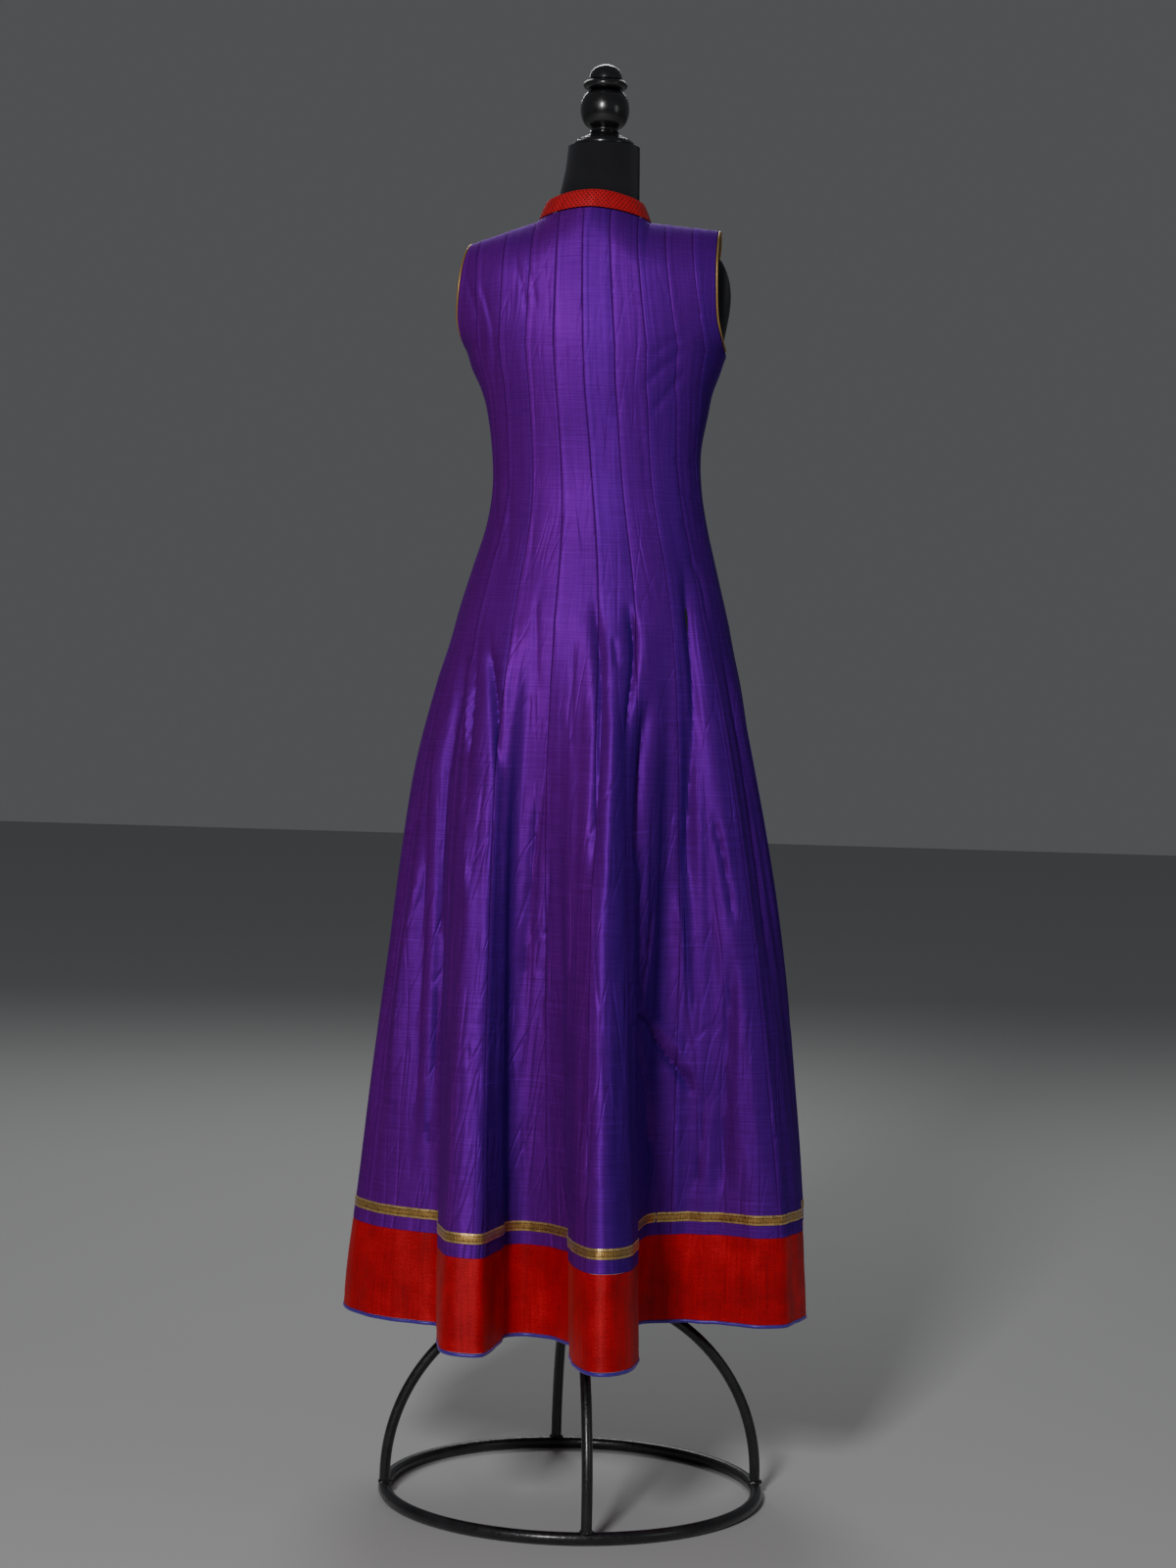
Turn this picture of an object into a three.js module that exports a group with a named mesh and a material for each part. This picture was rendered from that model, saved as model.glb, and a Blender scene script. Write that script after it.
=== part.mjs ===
// Sleeveless floor-length kurti of twenty kalis (long flared panels) with a stand collar, piped
// armholes, a woven ribbon and a wide hem band, worn by a limbless dress form on a round stand.
// Millimetres, +Z up. The wearer faces -Y, the back of the kurti faces +Y and the wearer's left is
// +X. The origin is on the floor, at the middle of the part's own box.
import * as THREE from 'three';

// ---------------------------------------------------------------- cloth
const CLOTH = 1.5;                 // wall of the silk and its seam allowances
const SEAM = 0.3;                  // space between two pieces at a seam
const KALIS_PER_QUARTER = 5;
const COLUMNS_PER_KALI = 5;
const UNDERARM = 1285;             // height of the lowest point of the armholes
const SECTION_POWER = 2.4;         // roundness of the body sections, 2 is an ellipse
const SECTION_STEPS = 64;

// The kurti's sections, by height: half widths to the wearer's left and right, depths behind and in
// front of the axis, and where the middle seam lies across the back. Over the underarm the widths
// run on under the arm plates, past the armhole's edge.
const BODY = [
  { z: 1490, left: 190, right: 182, back: 46, front: 50, seam: 14 },
  { z: 1440, left: 188, right: 180, back: 62, front: 60, seam: 14 },
  { z: 1400, left: 184, right: 176, back: 76, front: 70, seam: 14 },
  { z: 1355, left: 178, right: 168, back: 86, front: 92, seam: 14 },
  { z: 1320, left: 168, right: 158, back: 90, front: 110, seam: 12 },
  { z: 1300, left: 158, right: 151, back: 92, front: 116, seam: 11 },
  { z: 1285, left: 148, right: 142, back: 92, front: 119, seam: 10 },
  { z: 1267, left: 142, right: 136, back: 91, front: 120, seam: 9 },
  { z: 1244, left: 131, right: 128, back: 89, front: 118, seam: 7.5 },
  { z: 1222, left: 124, right: 124, back: 86, front: 111, seam: 5.5 },
  { z: 1178, left: 117, right: 117, back: 80, front: 97, seam: 1 },
  { z: 1134, left: 115, right: 119, back: 78, front: 90, seam: -3 },
  { z: 1090, left: 121, right: 127, back: 86, front: 93, seam: -8 },
  { z: 1046, left: 134, right: 138, back: 101, front: 99, seam: -13 },
  { z: 1002, left: 147, right: 149, back: 115, front: 107, seam: -16 },
  { z: 958, left: 158, right: 160, back: 126, front: 116, seam: -17 },
  { z: 914, left: 171, right: 172, back: 136, front: 126, seam: -17 },
  { z: 826, left: 191, right: 191, back: 151, front: 143, seam: -16 },
  { z: 738, left: 203, right: 208, back: 163, front: 156, seam: -15 },
  { z: 606, left: 218, right: 230, back: 176, front: 172, seam: -14 },
  { z: 474, left: 232, right: 246, back: 187, front: 185, seam: -13 },
  { z: 342, left: 245, right: 260, back: 196, front: 196, seam: -13 },
  { z: 254, left: 255, right: 263, back: 202, front: 202, seam: -13 },
  { z: 180, left: 259, right: 264, back: 206, front: 206, seam: -13 },
];
// How far apart the inner seams lie: 1 has all the kalis of a half equally wide.
const SPREAD = [
  { z: 1330, inner: 0.86 },
  { z: 1285, inner: 0.87 },
  { z: 1267, inner: 0.885 },
  { z: 1244, inner: 0.92 },
  { z: 1222, inner: 0.96 },
  { z: 1178, inner: 1.02 },
  { z: 1134, inner: 1.05 },
  { z: 1090, inner: 1.045 },
  { z: 1046, inner: 1.025 },
  { z: 1002, inner: 1.005 },
  { z: 958, inner: 1 },
  { z: 914, inner: 1 },
];

// Neck, shoulders and armholes.
const NECK_X = 8;                  // the neck's middle
const NECK_HALF = 63;
const NECK_SIDE_Z = 1431;          // where shoulder seam and neck seam meet
const NECK_SEAM = { back: { middle: 1440, power: 2 }, front: { middle: 1385, power: 2.2 } };
const SHOULDER_SLOPE = { left: 0.35, right: 0.1 };
const NECK_RISE = 0.8;             // how the cloth's form would rise on inside the neck
const SHOULDER_ROUND = { back: 65, front: 70 };   // height over which the cloth closes to the seam
const SHOULDER_POWER = 2.2;
const SHOULDER_TILT = 0.2;         // how far the cloth at the shoulder seam faces outward
// Where the kalis end at the neck and the shoulder, counted from the middle seam out to the tip.
const TOP_STOPS = {
  left: [{ kali: 2, x: 71 }, { kali: 4, x: 134 }, { kali: 5, x: 144 }],
  right: [{ kali: 2.4, x: -55 }, { kali: 4, x: -103 }, { kali: 5, x: -131 }],
};
const TOP_MIDDLE = { back: 15.5, front: 5 };       // x of the middle seam at the neck
const SEAM_SETTLE = { back: 1.3, front: 2 };      // how soon the seams turn in over the underarm
const ROWS_OVER_UNDERARM = [0.04, 0.12, 0.28, 0.5, 0.72, 0.88, 0.97, 1];
// The armhole's edge, from the underarm (0) to the tip of the shoulder (1): its distance from the
// axis on each side, and how much further in its front edge is cut.
const ARMHOLE = [
  { way: 0, left: 148, right: 142, scoop: 0 },
  { way: 0.1, left: 152, right: 139, scoop: 1 },
  { way: 0.25, left: 155, right: 134, scoop: 3 },
  { way: 0.5, left: 153, right: 132, scoop: 5 },
  { way: 0.75, left: 150, right: 131, scoop: 4 },
  { way: 0.9, left: 147, right: 131, scoop: 1 },
  { way: 1, left: 144, right: 131, scoop: 0 },
];

// The skirt's folds: the line of its lower edge seen from above, from the wearer's left side seam to
// the right one. Kalis are counted from the middle seam, to the left as plus; x is across, and out
// is behind the axis, or before it on the front.
const HEM_LINE = {
  back: [
    { kali: 5, x: 245, out: -71 }, { kali: 4.7, x: 259, out: -27 }, { kali: 4.35, x: 256, out: 25 },
    { kali: 4, x: 239, out: 69 }, { kali: 3.7, x: 205, out: 94 }, { kali: 3.4, x: 163, out: 107 },
    { kali: 3.15, x: 137, out: 111 }, { kali: 3, x: 128, out: 130 }, { kali: 2.8, x: 130, out: 170 },
    { kali: 2.6, x: 129, out: 210 }, { kali: 2.45, x: 121, out: 237 }, { kali: 2.25, x: 97, out: 251 },
    { kali: 2.05, x: 75, out: 247 }, { kali: 1.9, x: 68, out: 223 }, { kali: 1.7, x: 68, out: 185 },
    { kali: 1.5, x: 66, out: 150 }, { kali: 1.3, x: 51, out: 134 }, { kali: 1.1, x: 26, out: 136 },
    { kali: 0.95, x: 8, out: 146 }, { kali: 0.8, x: -6, out: 168 }, { kali: 0.5, x: -15, out: 216 },
    { kali: 0.2, x: -22, out: 263 }, { kali: 0.05, x: -32, out: 292 }, { kali: -0.12, x: -51, out: 309 },
    { kali: -0.32, x: -72, out: 301 }, { kali: -0.5, x: -87, out: 278 }, { kali: -0.68, x: -90, out: 243 },
    { kali: -0.95, x: -82, out: 198 }, { kali: -1.25, x: -72, out: 148 }, { kali: -1.5, x: -67, out: 105 },
    { kali: -1.68, x: -72, out: 70 }, { kali: -1.85, x: -87, out: 54 }, { kali: -2.1, x: -117, out: 47 },
    { kali: -2.4, x: -157, out: 50 }, { kali: -2.7, x: -196, out: 55 }, { kali: -3, x: -233, out: 50 },
    { kali: -3.25, x: -254, out: 24 }, { kali: -3.6, x: -262, out: -15 }, { kali: -4, x: -252, out: -66 },
    { kali: -4.4, x: -236, out: -109 }, { kali: -5, x: -214, out: -169 },
  ],
  front: [
    { kali: 5, x: 245, out: 71 }, { kali: 4.5, x: 262, out: 118 }, { kali: 4, x: 256, out: 168 },
    { kali: 3.6, x: 236, out: 198 }, { kali: 3.3, x: 212, out: 196 }, { kali: 3, x: 200, out: 172 },
    { kali: 2.7, x: 186, out: 150 }, { kali: 2.4, x: 166, out: 142 }, { kali: 2.15, x: 153, out: 160 },
    { kali: 1.85, x: 150, out: 194 }, { kali: 1.5, x: 142, out: 230 }, { kali: 1.15, x: 119, out: 246 },
    { kali: 0.85, x: 95, out: 236 }, { kali: 0.6, x: 84, out: 208 }, { kali: 0.3, x: 79, out: 172 },
    { kali: 0.05, x: 64, out: 149 }, { kali: -0.22, x: 42, out: 147 }, { kali: -0.5, x: 26, out: 168 },
    { kali: -0.8, x: 21, out: 202 }, { kali: -1.1, x: 15, out: 236 }, { kali: -1.38, x: -2, out: 258 },
    { kali: -1.65, x: -28, out: 263 }, { kali: -1.95, x: -54, out: 247 }, { kali: -2.2, x: -67, out: 218 },
    { kali: -2.5, x: -72, out: 182 }, { kali: -2.8, x: -82, out: 150 }, { kali: -3.05, x: -103, out: 137 },
    { kali: -3.3, x: -124, out: 149 }, { kali: -3.55, x: -134, out: 178 }, { kali: -3.85, x: -141, out: 212 },
    { kali: -4.1, x: -159, out: 232 }, { kali: -4.4, x: -184, out: 226 }, { kali: -4.7, x: -203, out: 200 },
    { kali: -5, x: -214, out: 169 },
  ],
};
const HEM_BASE = 208;              // height of the lower edge where the fold line is taken
const FOLDS_START = 985;           // height where the folds leave the hips
const FOLDS_GROW = 1.05;           // 1 grows evenly from there to the hem
// Height of the hem, by kali counted from the middle seam: 5 is the left side seam, -5 the right.
const HEM_HEIGHT = [
  { kali: 5, z: 212 }, { kali: 3, z: 206 }, { kali: 0, z: 204 },
  { kali: -1, z: 205 }, { kali: -2.5, z: 209 }, { kali: -5, z: 209 },
];

// Bands, measured up from the hem.
const PIPING_HIGH = 4;
const PIPING_PROUD = 0.8;
const BAND_TOP = 102;
const RIBBON_LOW = 116.5;
const RIBBON_HIGH = 127.5;
const RIBBON_THICK = 1;
const SKIRT_ROWS = [480, 625, 760, 870, 955, 1025, 1085, 1140, 1190, 1237, UNDERARM];

const COLLAR = { high: 20, lean: 8, slit: 5, columns: 15, rows: 1, over: 1.35, inset: 0.15 };
const ARMHOLE_PIPING = { radius: 1.3, sides: 6, clear: 0.6 };

// ---------------------------------------------------------------- dress form
const FORM_SIDES = 24;
const FORM_CLEAR = 4;              // from the kurti's outer face down to the form, chest to hip
const FORM_SHOULDERS = [
  { z: 1515, x: 0, half: 41, back: 41, front: 41, power: 2 },
  { z: 1490, x: 1, half: 42.5, back: 41, front: 43, power: 2 },
  { z: 1458, x: 4, half: 46, back: 41, front: 45, power: 2 },
  { z: 1439, x: 5, half: 47.5, back: 43, front: 46, power: 2 },
  { z: 1430, x: 6, half: 49, back: 44, front: 46, power: 2 },
  { z: 1424, x: 7, half: 60, back: 46, front: 49, power: 1.6 },
  { z: 1416, x: 8, half: 88, back: 51, front: 53, power: 1.5 },
  { z: 1407, x: 8, half: 115, back: 55, front: 56, power: 1.5 },
  { z: 1397, x: 8, half: 136, back: 61, front: 60, power: 1.7 },
  { z: 1383, x: 8, half: 150, back: 70, front: 67, power: 2.1 },
  { z: 1355, x: 8, half: 156, back: 79, front: 84, power: 2.3 },
  { z: 1325, x: 7, half: 152, back: 84, front: 102, power: 2.4 },
  { z: 1304, x: 4, half: 144, back: 87, front: 110, power: 2.4 },
];
const FORM_WAIST_ROWS = [1285, 1244, 1200, 1156, 1112, 1068, 1024, 990];
const FORM_HIPS = [
  { z: 940, half: 154, back: 116, front: 108, power: 2.4 },
  { z: 880, half: 160, back: 114, front: 108, power: 2.4 },
  { z: 822, half: 160, back: 108, front: 104, power: 2.4 },
  { z: 810, half: 152, back: 100, front: 96, power: 2.4 },
];
const FINIAL = { flange: 34, neck: 17, ball: 27.3, bead: 24.8, dome: 18.7, sides: 18 };
const FLANGE_Z = 1515.3;           // underside of the flange on the form's neck
const KNOB_Z = 1531;               // underside of the turned knob on the flange

// ---------------------------------------------------------------- stand
const RING = { radius: 210, tube: 14, sides: 10, steps: 40 };
const LEG = { tube: 12, sides: 8, steps: 12, count: 4, turn: THREE.MathUtils.degToRad(10) };
const LEG_BEND_Z = 22;             // height of the centre of the legs' quarter circles
const LEG_OFF_RING = 0.7;          // from the ring's top to the foot of a leg
const HUB = { radius: 15, low: 212, high: 262, chamfer: 3, sides: 20 };
const POLE = { radius: 11, high: 809.7, sides: 14 };

// ---------------------------------------------------------------- finishes
const finish = (color, roughness, metalness) =>
  new THREE.MeshStandardMaterial({ color, roughness, metalness, side: THREE.DoubleSide });
const SILK = finish(0x54238c, 0.42, 0.15);
const COLLAR_SILK = finish(0xc8191e, 0.5, 0.1);
const BAND_SILK = finish(0xb80f19, 0.6, 0.05);
const RIBBON_GOLD = finish(0xbe8c3c, 0.38, 0.6);
const PIPING_SILK = finish(0x461ea0, 0.5, 0.1);
const FORM_CLOTH = finish(0x0b0b0c, 0.8, 0);
const FINIAL_LACQUER = finish(0x060606, 0.14, 0);
const STAND_STEEL = finish(0x0a0a0a, 0.45, 0.3);

const object = new THREE.Group();

function add(name, geometry, material) {
  const mesh = new THREE.Mesh(geometry, material);
  mesh.name = name;
  object.add(mesh);
  return mesh;
}

// ---------------------------------------------------------------- small helpers
const lerp = THREE.MathUtils.lerp;
const clamp = THREE.MathUtils.clamp;

// A column of a table as a smooth curve of another column, which falls or rises row by row.
function along(rows, key, column, at) {
  const rising = rows[rows.length - 1][key] > rows[0][key];
  const passed = (row) => (rising ? row[key] <= at : row[key] >= at);
  let i = 0;
  while (i < rows.length - 2 && passed(rows[i + 1])) i += 1;
  const slope = (j) => {
    const before = rows[Math.max(j - 1, 0)];
    const after = rows[Math.min(j + 1, rows.length - 1)];
    return (after[column] - before[column]) / (after[key] - before[key]);
  };
  const [low, high] = [rows[i], rows[i + 1]];
  const span = high[key] - low[key];
  const s = clamp((at - low[key]) / span, 0, 1);
  const s2 = s * s;
  const s3 = s2 * s;
  return (2 * s3 - 3 * s2 + 1) * low[column] + (s3 - 2 * s2 + s) * span * slope(i)
    + (3 * s2 - 2 * s3) * high[column] + (s3 - s2) * span * slope(i + 1);
}

const body = (z, column) => along(BODY, 'z', column, z);

// A line of [x, y] points, measured along its length.
function measured(points) {
  const length = [0];
  for (let i = 1; i < points.length; i += 1) {
    const step = Math.hypot(points[i][0] - points[i - 1][0], points[i][1] - points[i - 1][1]);
    length.push(length[i - 1] + step);
  }
  return { points, length, total: length[length.length - 1] };
}

function pointAt(line, distance) {
  let i = 1;
  while (i < line.length.length - 1 && line.length[i] < distance) i += 1;
  const step = line.length[i] - line.length[i - 1];
  const s = clamp((distance - line.length[i - 1]) / step, 0, 1);
  return [0, 1].map((axis) => lerp(line.points[i - 1][axis], line.points[i][axis], s));
}

// ---------------------------------------------------------------- the form of the cloth
// Height of the shoulder seam over x, carried on upwards inside the neck.
function shoulderZ(x) {
  const off = Math.abs(x - NECK_X) - NECK_HALF;
  if (off < 0) return NECK_SIDE_Z - off * NECK_RISE;
  return NECK_SIDE_Z - off * SHOULDER_SLOPE[x > NECK_X ? 'left' : 'right'];
}

// How far behind (or before) the axis the cloth lies at x and z.
function depth(half, x, z) {
  const wide = body(z, x > 0 ? 'left' : 'right');
  const across = Math.min(Math.abs(x) / wide, 1);
  const round = (1 - across ** SECTION_POWER) ** (1 / SECTION_POWER);
  const under = clamp((shoulderZ(x) - z) / SHOULDER_ROUND[half], 0, 1);
  const close = (1 - (1 - under) ** SHOULDER_POWER) ** (1 / SHOULDER_POWER);
  return body(z, half) * round * close;
}

// One half of the body's section at a height, from the left side seam to the right one.
function section(half, z) {
  const points = [];
  for (let i = 0; i <= SECTION_STEPS; i += 1) {
    const angle = (Math.PI * i) / SECTION_STEPS;
    const cos = Math.cos(angle);
    const wide = body(z, cos > 0 ? 'left' : 'right');
    const x = wide * Math.sign(cos) * Math.abs(cos) ** (2 / SECTION_POWER);
    points.push([x, body(z, half) * Math.sin(angle) ** (2 / SECTION_POWER)]);
  }
  return measured(points);
}

// The distance along a section at which it passes the middle seam.
function middleOf(line, seamX) {
  let i = 1;
  while (i < line.points.length - 1 && line.points[i][0] > seamX) i += 1;
  const [before, after] = [line.points[i - 1], line.points[i]];
  const s = (before[0] - seamX) / (before[0] - after[0]);
  return lerp(line.length[i - 1], line.length[i], s);
}

// Place on a line of the kali count: 5 is the left end, 0 the middle seam and -5 the right end.
function onLine(line, middle, kali, inner) {
  const fourth = (4 / KALIS_PER_QUARTER) * inner;
  const count = Math.abs(kali);
  const share = count > 4 ? lerp(fourth, 1, count - 4) : (fourth * count) / 4;
  return pointAt(line, lerp(middle, kali > 0 ? 0 : line.total, share));
}

const UNFOLDED = { back: section('back', HEM_BASE), front: section('front', HEM_BASE) };

// How far the folds have grown at a height, 0 at the hips and 1 at the hem.
function foldGrowth(z) {
  return clamp((FOLDS_START - z) / (FOLDS_START - HEM_BASE), 0, 1.1) ** FOLDS_GROW;
}

const middleX = (half, z) => (half === 'back' ? body(z, 'seam') : 0);

function lowerPoint(half, kali, z) {
  const line = section(half, z);
  const inner = along(SPREAD, 'z', 'inner', z);
  const [x, out] = onLine(line, middleOf(line, middleX(half, z)), kali, inner);
  const growth = foldGrowth(z);
  if (growth === 0) return [x, out, z];
  const middle = middleOf(UNFOLDED[half], middleX(half, HEM_BASE));
  const plain = onLine(UNFOLDED[half], middle, kali, 1);
  const folded = ['x', 'out'].map((column) => along(HEM_LINE[half], 'kali', column, kali));
  return [x + growth * (folded[0] - plain[0]), out + growth * (folded[1] - plain[1]), z];
}

// Where a line down the cloth ends at the top: on the neck seam or on the shoulder seam.
function topOf(half, kali) {
  const stops = [{ kali: 0, x: TOP_MIDDLE[half] }, ...TOP_STOPS[kali > 0 ? 'left' : 'right']];
  const count = Math.abs(kali);
  let i = 0;
  while (i < stops.length - 2 && count > stops[i + 1].kali) i += 1;
  const x = lerp(stops[i].x, stops[i + 1].x,
    (count - stops[i].kali) / (stops[i + 1].kali - stops[i].kali));
  const off = Math.abs(x - NECK_X);
  if (off >= NECK_HALF) return [x, shoulderZ(x)];
  const { middle, power } = NECK_SEAM[half];
  return [x, lerp(middle, NECK_SIDE_Z, (off / NECK_HALF) ** power)];
}

function armholeX(half, side, way) {
  const scoop = half === 'front' ? along(ARMHOLE, 'way', 'scoop', way) : 0;
  return side * (along(ARMHOLE, 'way', side > 0 ? 'left' : 'right', way) - scoop);
}

// A point over the underarm, way up from there (0) to the neck or shoulder seam (1).
function upperPoint(half, kali, way) {
  const side = Math.sign(kali) || 1;
  const start = (count) => lowerPoint(half, count, UNDERARM)[0];
  const settle = 1 - (1 - way) ** SEAM_SETTLE[half];
  const inner = clamp(Math.abs(kali), 0, 4) * side;
  let x = lerp(start(inner), topOf(half, inner)[0], settle);
  const z = lerp(UNDERARM, topOf(half, kali)[1], way);
  if (Math.abs(kali) > 4) {
    const arc = (start(kali) - start(4 * side)) / (start(5 * side) - start(4 * side));
    const even = Math.abs(kali) - 4;
    x = lerp(x, armholeX(half, side, way), lerp(arc, even, settle));
  }
  return [x, depth(half, x, z), z];
}

// ---------------------------------------------------------------- one half as a grid of points
const hemZ = (kali) => along(HEM_HEIGHT, 'kali', 'z', kali);

// The rows of a half, bottom to top, as functions of the kali count.
const ROWS_OVER_HEM = [BAND_TOP, RIBBON_LOW, RIBBON_HIGH];
const UNDERARM_ROW = ROWS_OVER_HEM.length + SKIRT_ROWS.length - 1;

function kaliRows(half) {
  const low = ROWS_OVER_HEM.map((up) => (kali) => lowerPoint(half, kali, hemZ(kali) + up));
  const skirt = SKIRT_ROWS.map((z) => (kali) => lowerPoint(half, kali, z));
  const top = ROWS_OVER_UNDERARM.map((way) => (kali) => upperPoint(half, kali, way));
  return [...low, ...skirt, ...top];
}

const toward = { back: 1, front: -1 };
const placed = (half, [x, out, z]) => new THREE.Vector3(x, toward[half] * out, z);

const COLUMN_COUNT = 2 * KALIS_PER_QUARTER * COLUMNS_PER_KALI;
const columnKali = (i) => KALIS_PER_QUARTER - i / COLUMNS_PER_KALI;

// Outward directions at the points of a half's grid. At the side seams they are those of the whole
// ring, and on the shoulder seam they lie in the plane between back and front.
function normalsOf(half, grid, other) {
  return grid.map((row, r) => row.map((point, c) => {
    const end = row.length - 1;
    const joined = point.z <= UNDERARM;
    const before = c === 0 ? (joined ? other[r][1] : point) : row[c - 1];
    const after = c === end ? (joined ? other[r][end - 1] : point) : row[c + 1];
    const above = grid[Math.min(r + 1, grid.length - 1)][c];
    const up = above.clone().sub(grid[Math.max(r - 1, 0)][c]);
    const normal = up.cross(after.clone().sub(before)).multiplyScalar(-toward[half]);
    const off = Math.abs(point.x - NECK_X);
    if (r === grid.length - 1 && off >= NECK_HALF - 1e-6) {
      normal.set(Math.sign(point.x) * SHOULDER_TILT, 0, 1);
    }
    return normal.normalize();
  }));
}

function halfGrids() {
  const points = {};
  for (const half of ['back', 'front']) {
    points[half] = kaliRows(half).map((row) => Array.from({ length: COLUMN_COUNT + 1 },
      (_, i) => placed(half, row(columnKali(i)))));
  }
  return {
    back: { points: points.back, normals: normalsOf('back', points.back, points.front) },
    front: { points: points.front, normals: normalsOf('front', points.front, points.back) },
  };
}

// ---------------------------------------------------------------- closed walls
// A closed solid between an outer and an inner grid of the same size. A wrapped one is a ring.
function wall(outer, inner, wrapped = false) {
  const rows = outer.length;
  const columns = outer[0].length;
  const positions = [...outer.flat(), ...inner.flat()].flatMap((p) => [p.x, p.y, p.z]);
  const out = (r, c) => r * columns + (c % columns);
  const into = (r, c) => rows * columns + out(r, c);
  const index = [];
  const quad = (a, b, c, d) => index.push(a, b, c, a, c, d);
  const last = wrapped ? columns : columns - 1;
  for (let c = 0; c < last; c += 1) {
    for (let r = 0; r < rows - 1; r += 1) {
      quad(out(r, c), out(r, c + 1), out(r + 1, c + 1), out(r + 1, c));
      quad(into(r, c), into(r + 1, c), into(r + 1, c + 1), into(r, c + 1));
    }
    quad(out(0, c), into(0, c), into(0, c + 1), out(0, c + 1));
    quad(out(rows - 1, c), out(rows - 1, c + 1), into(rows - 1, c + 1), into(rows - 1, c));
  }
  for (let r = 0; r < rows - 1 && !wrapped; r += 1) {
    quad(out(r, 0), out(r + 1, 0), into(r + 1, 0), into(r, 0));
    const end = columns - 1;
    quad(out(r, end), into(r, end), into(r + 1, end), out(r + 1, end));
  }
  return facingOut(positions, index);
}

// The geometry of a closed mesh, turned over if its faces look inward.
function facingOut(positions, index) {
  const at = (i) => new THREE.Vector3().fromArray(positions, 3 * i);
  let volume = 0;
  for (let i = 0; i < index.length; i += 3) {
    volume += at(index[i]).dot(at(index[i + 1]).cross(at(index[i + 2])));
  }
  const faces = volume < 0 ? index.reverse() : index;
  const geometry = new THREE.BufferGeometry();
  geometry.setAttribute('position', new THREE.Float32BufferAttribute(positions, 3));
  geometry.setIndex(faces);
  geometry.computeVertexNormals();
  return geometry;
}

const moved = (points, directions, distance) => points.map((row, r) =>
  row.map((point, c) => point.clone().addScaledVector(directions[r][c], distance)));

// ---------------------------------------------------------------- kalis
function kaliPiece(grid, first) {
  const columns = Array.from({ length: COLUMNS_PER_KALI + 1 }, (_, i) => first + i);
  const points = grid.points.map((row) => {
    const picked = columns.map((c) => row[c].clone());
    const end = picked.length - 1;
    const shift = (a, b) => picked[b].clone().sub(picked[a]).setLength(SEAM / 2);
    const [leftIn, rightIn] = [shift(0, 1), shift(end, end - 1)];
    picked[0].add(leftIn);
    picked[end].add(rightIn);
    return picked;
  });
  const normals = grid.normals.map((row) => columns.map((c) => row[c]));
  return { points, normals };
}

// Keeps the shoulder seam open: the top row stops just short of the plane between back and front.
function openShoulder(points, half) {
  for (const point of points[points.length - 1]) {
    point.y = toward[half] * Math.max(toward[half] * point.y, SEAM / 2);
  }
  return points;
}

function addKalis(half, grid) {
  for (let i = 0; i < 2 * KALIS_PER_QUARTER; i += 1) {
    const { points, normals } = kaliPiece(grid, i * COLUMNS_PER_KALI);
    openShoulder(points, half);
    add(`${half}_kali_${i + 1}`, wall(points, moved(points, normals, -CLOTH)), SILK);
  }
}

// ---------------------------------------------------------------- rings round the skirt
// A level round the whole skirt, a given way over the hem: back from left to right, then front.
function ringRow(up) {
  const row = [];
  for (let i = 0; i < 2 * COLUMN_COUNT; i += 1) {
    const half = i < COLUMN_COUNT ? 'back' : 'front';
    const kali = i < COLUMN_COUNT ? columnKali(i) : -columnKali(i - COLUMN_COUNT);
    row.push(placed(half, lowerPoint(half, kali, hemZ(kali) + up)));
  }
  return row;
}

function ringNormals(points) {
  return points.map((row, r) => row.map((point, c) => {
    const across = row[(c + 1) % row.length].clone().sub(row[(c + row.length - 1) % row.length]);
    const above = points[Math.min(r + 1, points.length - 1)][c];
    const up = above.clone().sub(points[Math.max(r - 1, 0)][c]);
    return up.cross(across).negate().normalize();
  }));
}

function addRing(name, levels, outerOff, innerOff, material) {
  const points = levels.map(ringRow);
  const normals = ringNormals(points);
  const outer = moved(points, normals, outerOff);
  add(name, wall(outer, moved(points, normals, innerOff), true), material);
}

function addBands() {
  addRing('hem_band', [PIPING_HIGH + SEAM, BAND_TOP - SEAM], 0, -CLOTH, BAND_SILK);
  addRing('hem_piping', [0, PIPING_HIGH], PIPING_PROUD, -CLOTH - PIPING_PROUD, PIPING_SILK);
  addRing('gold_ribbon', [RIBBON_LOW, RIBBON_HIGH], SEAM + RIBBON_THICK, SEAM, RIBBON_GOLD);
}

// ---------------------------------------------------------------- stand collar
// The neck seam from the left edge of the front slit, round the back, to its right edge.
function neckSeam() {
  const { columns } = COLLAR;
  const seam = [];
  const at = (half, share) => {
    const { middle, power } = NECK_SEAM[half];
    const x = NECK_X + NECK_HALF * share;
    const z = lerp(middle, NECK_SIDE_Z, Math.abs(share) ** power);
    return placed(half, [x, depth(half, x, z), z]);
  };
  const slit = COLLAR.slit / 2 / NECK_HALF;
  const quarter = Math.PI / 2 / columns;
  const front = (i) => lerp(slit, 1, Math.sin(quarter * i));
  for (let i = 0; i < columns; i += 1) seam.push(at('front', front(i)));
  for (let i = 0; i < 2 * columns; i += 1) seam.push(at('back', Math.cos(quarter * i)));
  for (let i = columns; i >= 0; i -= 1) seam.push(at('front', -front(i)));
  return seam;
}

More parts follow.
